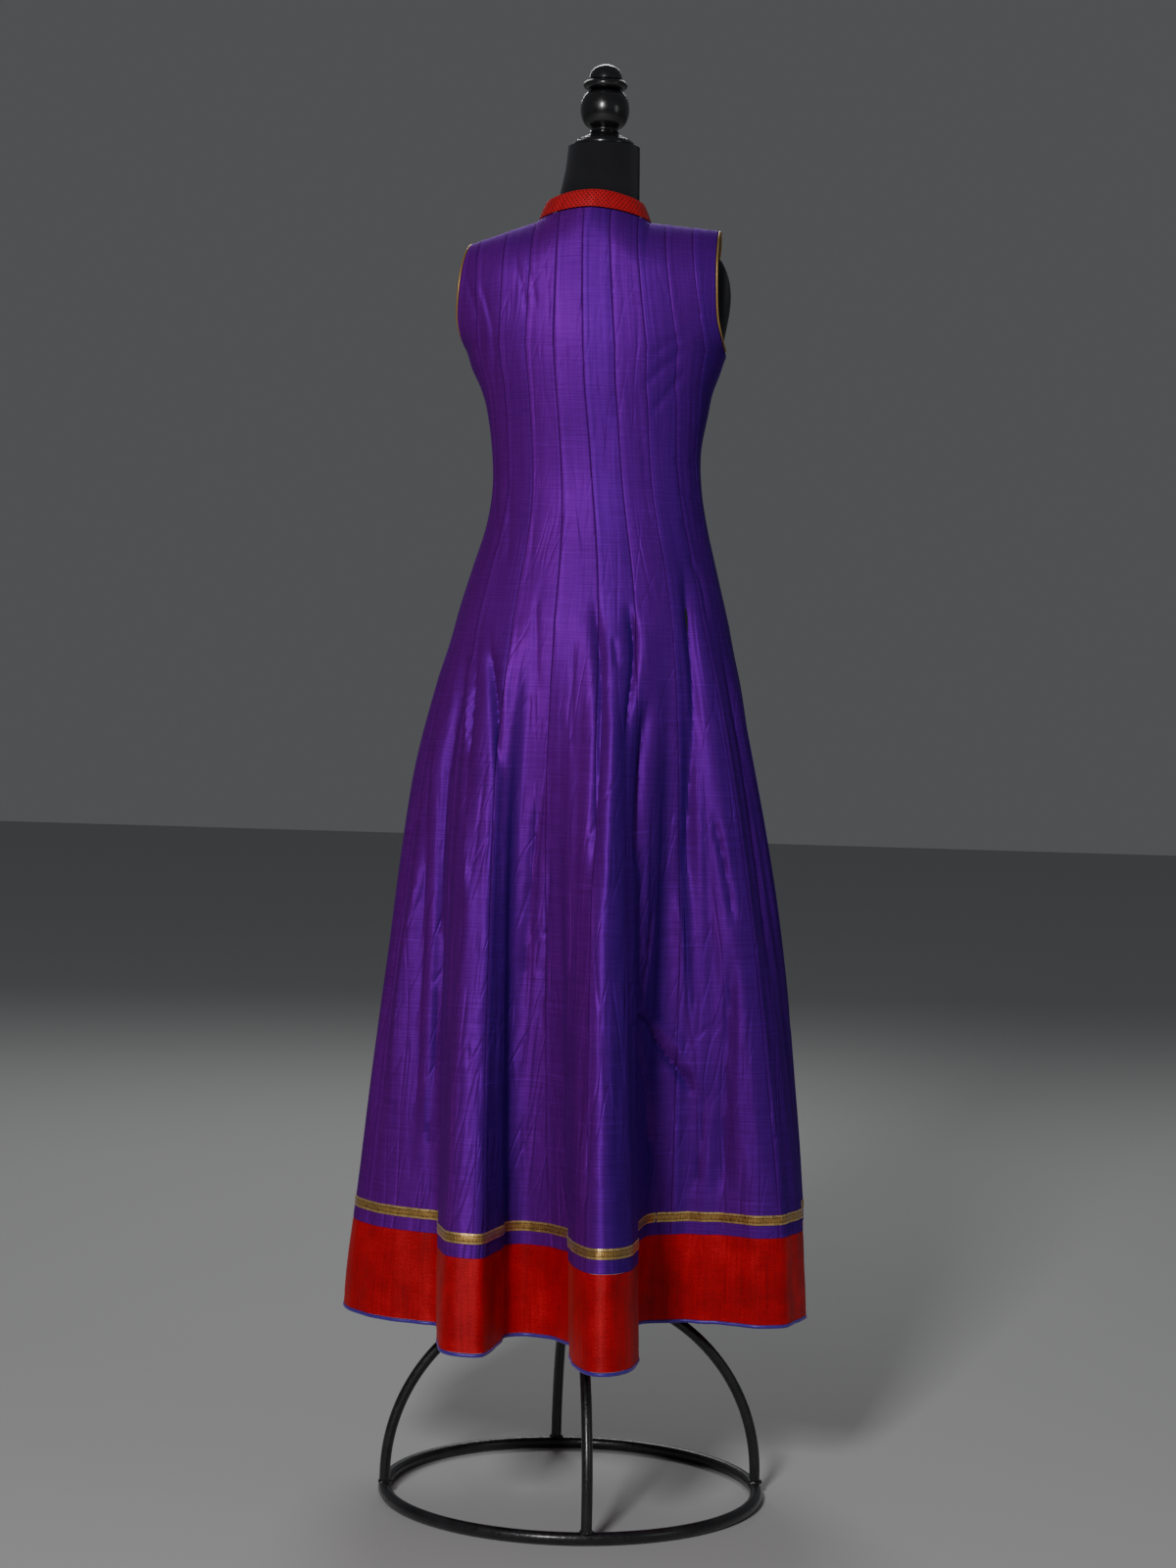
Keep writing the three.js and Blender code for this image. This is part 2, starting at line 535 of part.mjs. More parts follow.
function addCollar() {
  const foot = neckSeam();
  const inward = foot.map((p) => new THREE.Vector3(-p.x, -p.y, 0).normalize());
  const rowAt = (share) => foot.map((p, i) => p.clone()
    .addScaledVector(inward[i], COLLAR.lean * share + COLLAR.inset)
    .add(new THREE.Vector3(0, 0, COLLAR.over + COLLAR.high * share)));
  const outer = Array.from({ length: COLLAR.rows + 1 }, (_, r) => rowAt(r / COLLAR.rows));
  const inner = outer.map((row) => row.map((p, i) => p.clone().addScaledVector(inward[i], CLOTH)));
  add('collar', wall(outer, inner), COLLAR_SILK);
}

// ---------------------------------------------------------------- round tubes
// A closed loft of rings; its ends are capped, or join up when it is looped.
function loft(rings, looped = false) {
  const sides = rings[0].length;
  const positions = rings.flat().flatMap((p) => [p.x, p.y, p.z]);
  const index = [];
  const last = looped ? rings.length : rings.length - 1;
  for (let r = 0; r < last; r += 1) {
    const next = (r + 1) % rings.length;
    for (let s = 0; s < sides; s += 1) {
      const turn = (s + 1) % sides;
      const [a, b] = [r * sides + s, r * sides + turn];
      const [c, d] = [next * sides + turn, next * sides + s];
      index.push(a, b, c, a, c, d);
    }
  }
  const cap = (ring, order) => {
    const middle = ring.reduce((sum, p) => sum.add(p), new THREE.Vector3());
    middle.divideScalar(ring.length);
    const hub = positions.length / 3;
    positions.push(middle.x, middle.y, middle.z);
    for (let s = 0; s < sides; s += 1) {
      const [a, b] = [order * sides + s, order * sides + ((s + 1) % sides)];
      index.push(hub, ...(order === 0 ? [b, a] : [a, b]));
    }
  };
  if (!looped) {
    cap(rings[0], 0);
    cap(rings[rings.length - 1], rings.length - 1);
  }
  return facingOut(positions, index);
}

// Rings of a round tube along a line of points. The half-step turn gives it a flat underside.
function tubeRings(path, radius, sides, looped) {
  return path.map((point, i) => {
    const before = path[looped ? (i + path.length - 1) % path.length : Math.max(i - 1, 0)];
    const after = path[looped ? (i + 1) % path.length : Math.min(i + 1, path.length - 1)];
    const ahead = after.clone().sub(before).normalize();
    const reference = Math.abs(ahead.z) > 0.9 ? new THREE.Vector3(1, 0, 0)
      : new THREE.Vector3(0, 0, 1);
    const side = reference.clone().cross(ahead).normalize();
    const top = ahead.clone().cross(side);
    return Array.from({ length: sides }, (_, s) => {
      const angle = (2 * Math.PI * (s + 0.5)) / sides;
      return point.clone().addScaledVector(side, radius * Math.sin(angle))
        .addScaledVector(top, radius * Math.cos(angle));
    });
  });
}

// ---------------------------------------------------------------- armhole piping
// The edge of an armhole, up its back and down its front, set off beside the cloth.
function armholeLoop(grids, side) {
  const column = side > 0 ? 0 : COLUMN_COUNT;
  const beside = side > 0 ? 1 : COLUMN_COUNT - 1;
  const start = UNDERARM_ROW;
  const off = ARMHOLE_PIPING.radius + ARMHOLE_PIPING.clear;
  const edge = (grid, r) => {
    const point = grid.points[r][column];
    const below = grid.points[r - 1][column];
    const above = grid.points[Math.min(r + 1, grid.points.length - 1)][column];
    const run = above.clone().sub(r === start ? point : below).normalize();
    const out = point.clone().sub(grid.points[r][beside]);
    out.addScaledVector(run, -out.dot(run)).normalize();
    if (r === start) out.set(0, 0, 1);
    if (r === grid.points.length - 1) out.set(side, 0, 0);
    return point.clone().addScaledVector(out, off)
      .addScaledVector(grid.normals[r][column], -CLOTH / 2);
  };
  const top = grids.back.points.length - 1;
  const loop = [];
  for (let r = start; r <= top; r += 1) loop.push(edge(grids.back, r));
  for (let r = top - 1; r > start; r -= 1) loop.push(edge(grids.front, r));
  return loop;
}

function addArmholePiping(grids) {
  const { radius, sides } = ARMHOLE_PIPING;
  for (const [side, name] of [[1, 'left'], [-1, 'right']]) {
    const loop = armholeLoop(grids, side);
    const axis = new THREE.Vector3(side, 0, 0);
    const rings = loop.map((point, i) => {
      const before = loop[(i + loop.length - 1) % loop.length];
      const after = loop[(i + 1) % loop.length];
      const ahead = after.clone().sub(before).normalize();
      const inward = axis.clone().cross(ahead).normalize();
      const outward = ahead.clone().cross(inward);
      return Array.from({ length: sides }, (_, s) => {
        const angle = (2 * Math.PI * s) / sides;
        return point.clone().addScaledVector(inward, radius * Math.sin(angle))
          .addScaledVector(outward, radius * Math.cos(angle));
      });
    });
    add(`${name}_armhole_piping`, loft(rings, true), RIBBON_GOLD);
  }
}

// ---------------------------------------------------------------- dress form
function formRing({ z, x = 0, half, back, front, power }) {
  return Array.from({ length: FORM_SIDES }, (_, i) => {
    const angle = (2 * Math.PI * i) / FORM_SIDES;
    const [cos, sin] = [Math.cos(angle), Math.sin(angle)];
    const deep = sin > 0 ? back : front;
    return new THREE.Vector3(x + half * Math.sign(cos) * Math.abs(cos) ** (2 / power),
      deep * Math.sign(sin) * Math.abs(sin) ** (2 / power), z);
  });
}

function addForm() {
  const waist = FORM_WAIST_ROWS.map((z) => ({
    z,
    half: Math.min(body(z, 'left'), body(z, 'right')) - FORM_CLEAR,
    back: body(z, 'back') - FORM_CLEAR,
    front: body(z, 'front') - FORM_CLEAR,
    power: SECTION_POWER,
  }));
  const rows = [...FORM_SHOULDERS, ...waist, ...FORM_HIPS];
  add('form_torso', loft(rows.map(formRing)), FORM_CLOTH);
}

// A turned piece: its outline as [radius, height] pairs, which starts and ends on the axis.
function turned(name, outline, sides, z, material) {
  const geometry = new THREE.LatheGeometry(outline.map(([r, h]) => new THREE.Vector2(r, h)), sides);
  geometry.rotateX(Math.PI / 2);
  geometry.translate(0, 0, z);
  add(name, geometry, material);
}

// Points of a round bulge from low to high, reaching out to radius.
function bulge(radius, low, high, root, steps) {
  return Array.from({ length: steps + 1 }, (_, i) => {
    const angle = (Math.PI * i) / steps;
    return [root + (radius - root) * Math.sin(angle), lerp(low, high, (1 - Math.cos(angle)) / 2)];
  });
}

function addFinial() {
  const { flange, neck, ball, bead, dome, sides } = FINIAL;
  turned('neck_flange', [
    [0, 0], [flange - 2, 0], [flange, 1.5], [flange, 4], [flange - 4, 7.5], [neck + 5, 11],
    [neck, 14], [neck - 1, 15.4], [0, 15.4],
  ], sides, FLANGE_Z, FINIAL_LACQUER);
  turned('finial', [
    [0, 0], [neck, 0], [neck - 1, 4], ...bulge(ball, 5, 47, 14, 8), ...bulge(bead, 48, 58, 17, 4),
    [dome, 60], [dome - 1, 65], [dome - 4, 70], [dome - 9, 74], [dome - 14, 75.7], [0, 76],
  ], sides, KNOB_Z, FINIAL_LACQUER);
}

// ---------------------------------------------------------------- stand
function addRingBase() {
  const height = (RING.tube / 2) * Math.cos(Math.PI / RING.sides);
  const path = Array.from({ length: RING.steps }, (_, i) => {
    const angle = (2 * Math.PI * i) / RING.steps;
    return new THREE.Vector3(RING.radius * Math.cos(angle), RING.radius * Math.sin(angle), height);
  });
  add('base_ring', loft(tubeRings(path, RING.tube / 2, RING.sides, true), true), STAND_STEEL);
  return 2 * height;
}

// A leg stands on the ring and bends over in a quarter circle to the hub.
function legPath(ringTop) {
  const radius = RING.radius;
  const foot = ringTop + LEG_OFF_RING;
  const path = [new THREE.Vector3(radius, 0, foot)];
  const reach = Math.acos((HUB.radius + SEAM) / radius);
  for (let i = 0; i <= LEG.steps; i += 1) {
    const angle = (reach * i) / LEG.steps;
    const z = LEG_BEND_Z + radius * Math.sin(angle);
    path.push(new THREE.Vector3(radius * Math.cos(angle), 0, z));
  }
  return path;
}

function legRings(path) {
  const across = new THREE.Vector3(0, 1, 0);
  return path.map((point, i) => {
    const before = path[Math.max(i - 1, 0)];
    const after = path[Math.min(i + 1, path.length - 1)];
    const ahead = after.clone().sub(before).normalize();
    if (i === 0) ahead.set(0, 0, 1);
    if (i === path.length - 1) ahead.set(-1, 0, 0);
    const out = across.clone().cross(ahead);
    return Array.from({ length: LEG.sides }, (_, s) => {
      const angle = (2 * Math.PI * (s + 0.5)) / LEG.sides;
      return point.clone().addScaledVector(out, (LEG.tube / 2) * Math.cos(angle))
        .addScaledVector(across, (LEG.tube / 2) * Math.sin(angle));
    });
  });
}

function addLegs(ringTop) {
  const rings = legRings(legPath(ringTop));
  for (let i = 0; i < LEG.count; i += 1) {
    const geometry = loft(rings);
    geometry.rotateZ(LEG.turn + (2 * Math.PI * i) / LEG.count);
    add(`leg_${i + 1}`, geometry, STAND_STEEL);
  }
}

function addPole() {
  turned('hub', [[0, HUB.low], [HUB.radius, HUB.low], [HUB.radius, HUB.high - HUB.chamfer],
    [HUB.radius - HUB.chamfer, HUB.high], [0, HUB.high]], HUB.sides, 0, STAND_STEEL);
  const low = HUB.high + SEAM;
  turned('pole', [[0, low], [POLE.radius, low], [POLE.radius, POLE.high], [0, POLE.high]],
    POLE.sides, 0, STAND_STEEL);
}

// ---------------------------------------------------------------- the whole part
const grids = halfGrids();
addKalis('back', grids.back);
addKalis('front', grids.front);
addBands();
addCollar();
addArmholePiping(grids);
addForm();
addFinial();
addLegs(addRingBase());
addPole();

// The origin goes to the middle of the part's box, on the floor.
const box = new THREE.Box3().setFromObject(object);
const middle = box.getCenter(new THREE.Vector3());
for (const mesh of object.children) mesh.position.set(-middle.x, -middle.y, -box.min.z);

export default object;
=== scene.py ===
import math

import bpy
import numpy as np
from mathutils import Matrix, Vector


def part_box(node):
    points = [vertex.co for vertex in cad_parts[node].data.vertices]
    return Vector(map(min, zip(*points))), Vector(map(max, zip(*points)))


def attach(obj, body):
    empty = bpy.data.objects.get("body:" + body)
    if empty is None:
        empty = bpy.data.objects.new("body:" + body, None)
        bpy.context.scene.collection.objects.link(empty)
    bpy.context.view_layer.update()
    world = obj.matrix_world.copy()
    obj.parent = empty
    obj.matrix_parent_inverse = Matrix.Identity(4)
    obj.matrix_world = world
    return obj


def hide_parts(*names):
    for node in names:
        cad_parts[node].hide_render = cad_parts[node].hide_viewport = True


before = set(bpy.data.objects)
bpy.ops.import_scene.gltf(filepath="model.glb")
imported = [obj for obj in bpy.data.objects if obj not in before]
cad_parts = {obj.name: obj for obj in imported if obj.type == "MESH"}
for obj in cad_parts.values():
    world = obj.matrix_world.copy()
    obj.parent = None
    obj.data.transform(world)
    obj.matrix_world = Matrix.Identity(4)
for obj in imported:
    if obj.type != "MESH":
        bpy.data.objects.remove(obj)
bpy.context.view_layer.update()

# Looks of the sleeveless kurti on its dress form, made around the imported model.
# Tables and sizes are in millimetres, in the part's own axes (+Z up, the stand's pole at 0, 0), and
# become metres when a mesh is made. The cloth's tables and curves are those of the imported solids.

MM = 0.001
RING_LOW, RING_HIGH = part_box("base_ring")
AXIS = np.array([(RING_LOW.x + RING_HIGH.x) / 2, (RING_LOW.y + RING_HIGH.y) / 2, 0])

# ------------------------------------------------------------------ the cloth's tables
CLOTH = 1.5
SEAM = 0.3
KALIS = 10                         # long panels in each half
QUARTER = 5
UNDERARM = 1285
SECTION_POWER = 2.4
SECTION_STEPS = 192

# Height, half widths to the left and right, depth behind and before the axis, middle seam's place.
BODY = np.array([
    (1490, 190, 182, 46, 50, 14), (1440, 188, 180, 62, 60, 14), (1400, 184, 176, 76, 70, 14),
    (1355, 178, 168, 86, 92, 14), (1320, 168, 158, 90, 110, 12), (1300, 158, 151, 92, 116, 11),
    (1285, 148, 142, 92, 119, 10), (1267, 142, 136, 91, 120, 9), (1244, 131, 128, 89, 118, 7.5),
    (1222, 124, 124, 86, 111, 5.5), (1178, 117, 117, 80, 97, 1), (1134, 115, 119, 78, 90, -3),
    (1090, 121, 127, 86, 93, -8), (1046, 134, 138, 101, 99, -13), (1002, 147, 149, 115, 107, -16),
    (958, 158, 160, 126, 116, -17), (914, 171, 172, 136, 126, -17), (826, 191, 191, 151, 143, -16),
    (738, 203, 208, 163, 156, -15), (606, 218, 230, 176, 172, -14), (474, 232, 246, 187, 185, -13),
    (342, 245, 260, 196, 196, -13), (254, 255, 263, 202, 202, -13), (180, 259, 264, 206, 206, -13),
], float)
LEFT, RIGHT, BACK, FRONT, MIDDLE = 1, 2, 3, 4, 5
# Height, and how far apart the inner seams lie there: 1 has all the kalis of a half equally wide.
SPREAD = np.array([
    (1330, 0.86), (1285, 0.87), (1267, 0.885), (1244, 0.92), (1222, 0.96), (1178, 1.02),
    (1134, 1.05), (1090, 1.045), (1046, 1.025), (1002, 1.005), (958, 1), (914, 1),
], float)
DEPTH = {"back": BACK, "front": FRONT}

NECK_X = 8
NECK_HALF = 63
NECK_SIDE_Z = 1431
NECK_SEAM = {"back": (1440, 2), "front": (1385, 2.2)}      # height at the middle, and its curve
SHOULDER_SLOPE = {"left": 0.35, "right": 0.1}
NECK_RISE = 0.8
SHOULDER_ROUND = {"back": 65, "front": 70}
SHOULDER_POWER = 2.2
SHOULDER_TILT = 0.2
TOP_STOPS = {                      # kalis from the middle seam, and x at the neck or shoulder
    "left": ((2, 4, 5), (71, 134, 144)),
    "right": ((2.4, 4, 5), (-55, -103, -131)),
}
TOP_MIDDLE = {"back": 15.5, "front": 5}      # x of the middle seam at the neck
SEAM_SETTLE = {"back": 1.3, "front": 2}
# Way up the armhole, its edge's distance from the axis left and right, how far the front is cut in.
ARMHOLE = np.array([
    (0, 148, 142, 0), (0.1, 152, 139, 1), (0.25, 155, 134, 3), (0.5, 153, 132, 5),
    (0.75, 150, 131, 4), (0.9, 147, 131, 1), (1, 144, 131, 0),
], float)

# The lower edge seen from above: kalis from the middle seam, x, and distance out from the axis.
HEM_LINE = {
    "back": np.array([
        (5, 245, -71), (4.7, 259, -27), (4.35, 256, 25), (4, 239, 69), (3.7, 205, 94),
        (3.4, 163, 107), (3.15, 137, 111), (3, 128, 130), (2.8, 130, 170), (2.6, 129, 210),
        (2.45, 121, 237), (2.25, 97, 251), (2.05, 75, 247), (1.9, 68, 223), (1.7, 68, 185),
        (1.5, 66, 150), (1.3, 51, 134), (1.1, 26, 136), (0.95, 8, 146), (0.8, -6, 168),
        (0.5, -15, 216), (0.2, -22, 263), (0.05, -32, 292), (-0.12, -51, 309), (-0.32, -72, 301),
        (-0.5, -87, 278), (-0.68, -90, 243), (-0.95, -82, 198), (-1.25, -72, 148),
        (-1.5, -67, 105), (-1.68, -72, 70), (-1.85, -87, 54), (-2.1, -117, 47), (-2.4, -157, 50),
        (-2.7, -196, 55), (-3, -233, 50), (-3.25, -254, 24), (-3.6, -262, -15), (-4, -252, -66),
        (-4.4, -236, -109), (-5, -214, -169),
    ], float),
    "front": np.array([
        (5, 245, 71), (4.5, 262, 118), (4, 256, 168), (3.6, 236, 198), (3.3, 212, 196),
        (3, 200, 172), (2.7, 186, 150), (2.4, 166, 142), (2.15, 153, 160), (1.85, 150, 194),
        (1.5, 142, 230), (1.15, 119, 246), (0.85, 95, 236), (0.6, 84, 208), (0.3, 79, 172),
        (0.05, 64, 149), (-0.22, 42, 147), (-0.5, 26, 168), (-0.8, 21, 202), (-1.1, 15, 236),
        (-1.38, -2, 258), (-1.65, -28, 263), (-1.95, -54, 247), (-2.2, -67, 218),
        (-2.5, -72, 182), (-2.8, -82, 150), (-3.05, -103, 137), (-3.3, -124, 149),
        (-3.55, -134, 178), (-3.85, -141, 212), (-4.1, -159, 232), (-4.4, -184, 226),
        (-4.7, -203, 200), (-5, -214, 169),
    ], float),
}
HEM_BASE = 208
FOLDS_START = 985
FOLDS_GROW = 1.05
HEM_HEIGHT = np.array([(5, 212), (3, 206), (0, 204), (-1, 205), (-2.5, 209), (-5, 209)], float)
PIPING_HIGH = 4
BAND_TOP = 102
RIBBON_LOW, RIBBON_HIGH = 116.5, 127.5
LEVEL_FROM = 480                   # the rows over the ribbon are level from this height

TOWARD = {"back": 1, "front": -1}


def lerp(a, b, share):
    return a + (b - a) * share


def smooth(low, high, at):
    """Rises softly from 0 at low to 1 at high."""
    t = np.clip((at - low) / (high - low), 0, 1)
    return t * t * (3 - 2 * t)


def along(table, column, at):
    """A column of a table as a smooth curve of the first column, which rises or falls evenly."""
    keys, values = table[:, 0], table[:, column]
    at = np.asarray(at, float)
    sign = 1 if keys[-1] > keys[0] else -1
    count = len(keys)
    i = np.clip(np.searchsorted(sign * keys, sign * at, side="right") - 1, 0, count - 2)
    before = np.maximum(np.arange(count) - 1, 0)
    after = np.minimum(np.arange(count) + 1, count - 1)
    slope = (values[after] - values[before]) / (keys[after] - keys[before])
    span = keys[i + 1] - keys[i]
    s = np.clip((at - keys[i]) / span, 0, 1)
    s2, s3 = s * s, s ** 3
    return ((2 * s3 - 3 * s2 + 1) * values[i] + (s3 - 2 * s2 + s) * span * slope[i]
            + (3 * s2 - 2 * s3) * values[i + 1] + (s3 - s2) * span * slope[i + 1])


# ------------------------------------------------------------------ the form of the cloth
_angle = np.linspace(0, math.pi, SECTION_STEPS + 1)
UNIT_X = np.sign(np.cos(_angle)) * np.abs(np.cos(_angle)) ** (2 / SECTION_POWER)
UNIT_OUT = np.clip(np.sin(_angle), 0, 1) ** (2 / SECTION_POWER)
CHUNK = 8000                       # points whose whole sections are worked out at a time


def section_points(half, z, kali):
    """Where the body's section at each height passes each kali: x and the distance out."""
    z, kali = (a.ravel() for a in np.broadcast_arrays(np.asarray(z, float), kali))
    out = np.empty((len(z), 2))
    for start in range(0, len(z), CHUNK):
        part = slice(start, start + CHUNK)
        out[part] = _section_chunk(half, z[part], kali[part])
    return out


def _section_chunk(half, z, kali):
    rows = np.arange(len(z))
    x = UNIT_X * np.where(UNIT_X > 0, along(BODY, LEFT, z)[:, None], along(BODY, RIGHT, z)[:, None])
    y = UNIT_OUT * along(BODY, DEPTH[half], z)[:, None]
    length = np.zeros_like(x)
    length[:, 1:] = np.cumsum(np.hypot(np.diff(x), np.diff(y)), axis=1)
    seam = along(BODY, MIDDLE, z) if half == "back" else np.zeros(len(z))
    i = np.clip((x > seam[:, None]).sum(1), 1, SECTION_STEPS)
    share = (x[rows, i - 1] - seam) / (x[rows, i - 1] - x[rows, i])
    middle = lerp(length[rows, i - 1], length[rows, i], share)
    end = np.where(kali > 0, 0, length[:, -1])
    count = np.abs(kali)
    inner = 4 / QUARTER * along(SPREAD, 1, z)
    wanted = lerp(middle, end, np.where(count > 4, lerp(inner, 1, count - 4), inner * count / 4))
    j = np.clip((length < wanted[:, None]).sum(1), 1, SECTION_STEPS)
    s = np.clip((wanted - length[rows, j - 1]) / (length[rows, j] - length[rows, j - 1]), 0, 1)
    return np.stack([lerp(x[rows, j - 1], x[rows, j], s), lerp(y[rows, j - 1], y[rows, j], s)], -1)


def lower_rows(half, kali, z):
    """Points of the skirt and bodice up to the underarm: z has a row for each level."""
    shape = z.shape
    point = section_points(half, z, kali[None, :]).reshape(*shape, 2)
    plain = section_points(half, HEM_BASE, kali)
    folded = np.stack([along(HEM_LINE[half], 1, kali), along(HEM_LINE[half], 2, kali)], -1)
    growth = np.clip((FOLDS_START - z) / (FOLDS_START - HEM_BASE), 0, 1.1) ** FOLDS_GROW
    point = point + growth[..., None] * (folded - plain)
    return np.dstack([point[..., 0], TOWARD[half] * point[..., 1], z])


def shoulder_z(x):
    off = np.abs(x - NECK_X) - NECK_HALF
    slope = np.where(x > NECK_X, SHOULDER_SLOPE["left"], SHOULDER_SLOPE["right"])
    return NECK_SIDE_Z - off * np.where(off < 0, NECK_RISE, slope)


def depth(half, x, z):
    """How far behind (or before) the axis the cloth lies at x and z."""
    wide = np.where(x > 0, along(BODY, LEFT, z), along(BODY, RIGHT, z))
    across = np.minimum(np.abs(x) / wide, 1)
    round_off = (1 - across ** SECTION_POWER) ** (1 / SECTION_POWER)
    under = np.clip((shoulder_z(x) - z) / SHOULDER_ROUND[half], 0, 1)
    close = (1 - (1 - under) ** SHOULDER_POWER) ** (1 / SHOULDER_POWER)
    return along(BODY, DEPTH[half], z) * round_off * close


def top_x(half, side, count):
    kalis, places = TOP_STOPS[side]
    return np.interp(count, (0, *kalis), (TOP_MIDDLE[half], *places))


def tops(half, kali):
    """Where lines down the cloth end, on the neck seam or the shoulder seam: x and height."""
    count = np.abs(kali)
    x = np.where(kali > 0, top_x(half, "left", count), top_x(half, "right", count))
    off = np.abs(x - NECK_X)
    middle, power = NECK_SEAM[half]
    neck = lerp(middle, NECK_SIDE_Z, np.minimum(off / NECK_HALF, 1) ** power)
    return x, np.where(off >= NECK_HALF, shoulder_z(x), neck)


def upper_rows(half, kali, ways):
    """Points over the underarm, each row a way up from there (0) to the neck or shoulder (1)."""
    side = np.where(kali < 0, -1.0, 1.0)
    count = np.abs(kali)
    start = section_points(half, UNDERARM, kali)[:, 0]
    inner = np.minimum(count, 4) * side
    inner_start = section_points(half, UNDERARM, inner)[:, 0]
    edge_start = section_points(half, UNDERARM, QUARTER * side)[:, 0]
    inner_top, _ = tops(half, inner)
    _, top_z = tops(half, kali)
    way = ways[:, None]
    settle = 1 - (1 - way) ** SEAM_SETTLE[half]
    x = lerp(inner_start, inner_top, settle)
    edge = np.where(side > 0, along(ARMHOLE, 1, way), along(ARMHOLE, 2, way))
    if half == "front":
        edge = edge - along(ARMHOLE, 3, way)
    arc = (start - inner_start) / np.where(count > 4, edge_start - inner_start, 1)
    x = np.where(count > 4, lerp(x, side * edge, lerp(arc, count - 4, settle)), x)
    z = lerp(UNDERARM, top_z, way)
    return np.dstack([x, TOWARD[half] * depth(half, x, z), z])


# ------------------------------------------------------------------ the whole surface, finely
CONTROL_COLUMNS = 20               # to a kali, worked out exactly
REFINE = 4                         # columns between them, by a smooth curve
FINE = CONTROL_COLUMNS * REFINE
ROW_STEP = 4
UPPER_ROWS = 52
UPPER_CROWD = 1.7                  # the rows crowd towards the shoulder seam, where the cloth closes

KALI_AT = np.linspace(QUARTER, -QUARTER, KALIS * CONTROL_COLUMNS + 1)
FINE_AT = np.linspace(QUARTER, -QUARTER, KALIS * FINE + 1)
BAND_UPS = np.linspace(PIPING_HIGH + SEAM, BAND_TOP - SEAM, 26)
KALI_UPS = np.array([BAND_TOP, 105, 109, 113, RIBBON_LOW, 119, 122, 125, RIBBON_HIGH, 130, 133])
OVER_UPS = np.arange(KALI_UPS[-1] + ROW_STEP, UNDERARM - HEM_BASE, ROW_STEP)
UPS = np.concatenate([[0, PIPING_HIGH / 2], BAND_UPS, KALI_UPS, OVER_UPS, [UNDERARM - HEM_BASE]])
BAND_ROWS = slice(2, 2 + len(BAND_UPS))
FIRST_KALI_ROW = 2 + len(BAND_UPS)
RIBBON_ROWS = slice(FIRST_KALI_ROW + 4, FIRST_KALI_ROW + 9)
UNDERARM_ROW = len(UPS) - 1
WAYS = 1 - (1 - np.arange(1, UPPER_ROWS + 1) / UPPER_ROWS) ** UPPER_CROWD


def refined(values, times):
    """Columns put in between by a smooth curve through the given ones."""
    padded = np.concatenate([2 * values[:, :1] - values[:, 1:2], values,
                             2 * values[:, -1:] - values[:, -2:-1]], axis=1)
    a, b, c, d = (padded[:, k:k + values.shape[1] - 1] for k in range(4))
    out = np.empty((values.shape[0], (values.shape[1] - 1) * times + 1, 3))
    for k in range(times):
        t = k / times
        out[:, k:-1:times] = 0.5 * (2 * b + (c - a) * t + (2 * a - 5 * b + 4 * c - d) * t ** 2
                                    + (3 * b - a - 3 * c + d) * t ** 3)
    out[:, -1] = values[:, -1]
    return out


def unit(vectors):
    return vectors / np.maximum(np.linalg.norm(vectors, axis=-1, keepdims=True), 1e-12)


def run_across(points):
    """Along each row, the distance from its first point."""
    run = np.zeros(points.shape[:2])
    run[:, 1:] = np.cumsum(np.linalg.norm(np.diff(points, axis=1), axis=-1), axis=1)
    return run


def run_along(path):
    return run_across(path[None])[0]


def round_angles(count):
    return 2 * math.pi * np.arange(count) / count


def half_points(half):
    hem = along(HEM_HEIGHT, 1, KALI_AT)
    up = UPS[:, None]
    ribbon_z = hem + RIBBON_HIGH
    share = np.clip((up - RIBBON_HIGH) / (LEVEL_FROM - HEM_BASE - RIBBON_HIGH), 0, 1)
    z = np.where(up <= RIBBON_HIGH, hem + up, lerp(ribbon_z, LEVEL_FROM, share))
    z = np.where(HEM_BASE + up > LEVEL_FROM, HEM_BASE + up + 0 * hem, z)
    rows = [lower_rows(half, KALI_AT, z), upper_rows(half, KALI_AT, WAYS)]
    return refined(np.concatenate(rows), REFINE)


def half_normals(points, other, half):
    """Outward directions. At the side seams they are those of the whole ring."""
    before = np.concatenate([points[:, :1], points[:, :-1]], axis=1)
    after = np.concatenate([points[:, 1:], points[:, -1:]], axis=1)
    joined = slice(0, UNDERARM_ROW + 1)
    before[joined, 0] = other[joined, 1]
    after[joined, -1] = other[joined, -2]
    up = np.concatenate([points[1:], points[-1:]]) - np.concatenate([points[:1], points[:-1]])
    normals = np.cross(up, after - before) * -TOWARD[half]
    on_shoulder = np.abs(points[-1, :, 0] - NECK_X) >= NECK_HALF - 1e-6
    tilt = np.stack([np.sign(points[-1, :, 0]) * SHOULDER_TILT, 0 * points[-1, :, 0],
                     1 + 0 * points[-1, :, 0]], -1)
    normals = unit(normals)
    normals[-1, on_shoulder] = unit(tilt[on_shoulder])
    return normals


def from_seam(points):
    """Along each row, the distance from the last kali seam and the width of that kali."""
    run = run_across(points)
    first = (np.arange(points.shape[1]) // FINE) * FINE
    first = np.minimum(first, (KALIS - 1) * FINE)
    return run - run[:, first], run[:, first + FINE] - run[:, first]


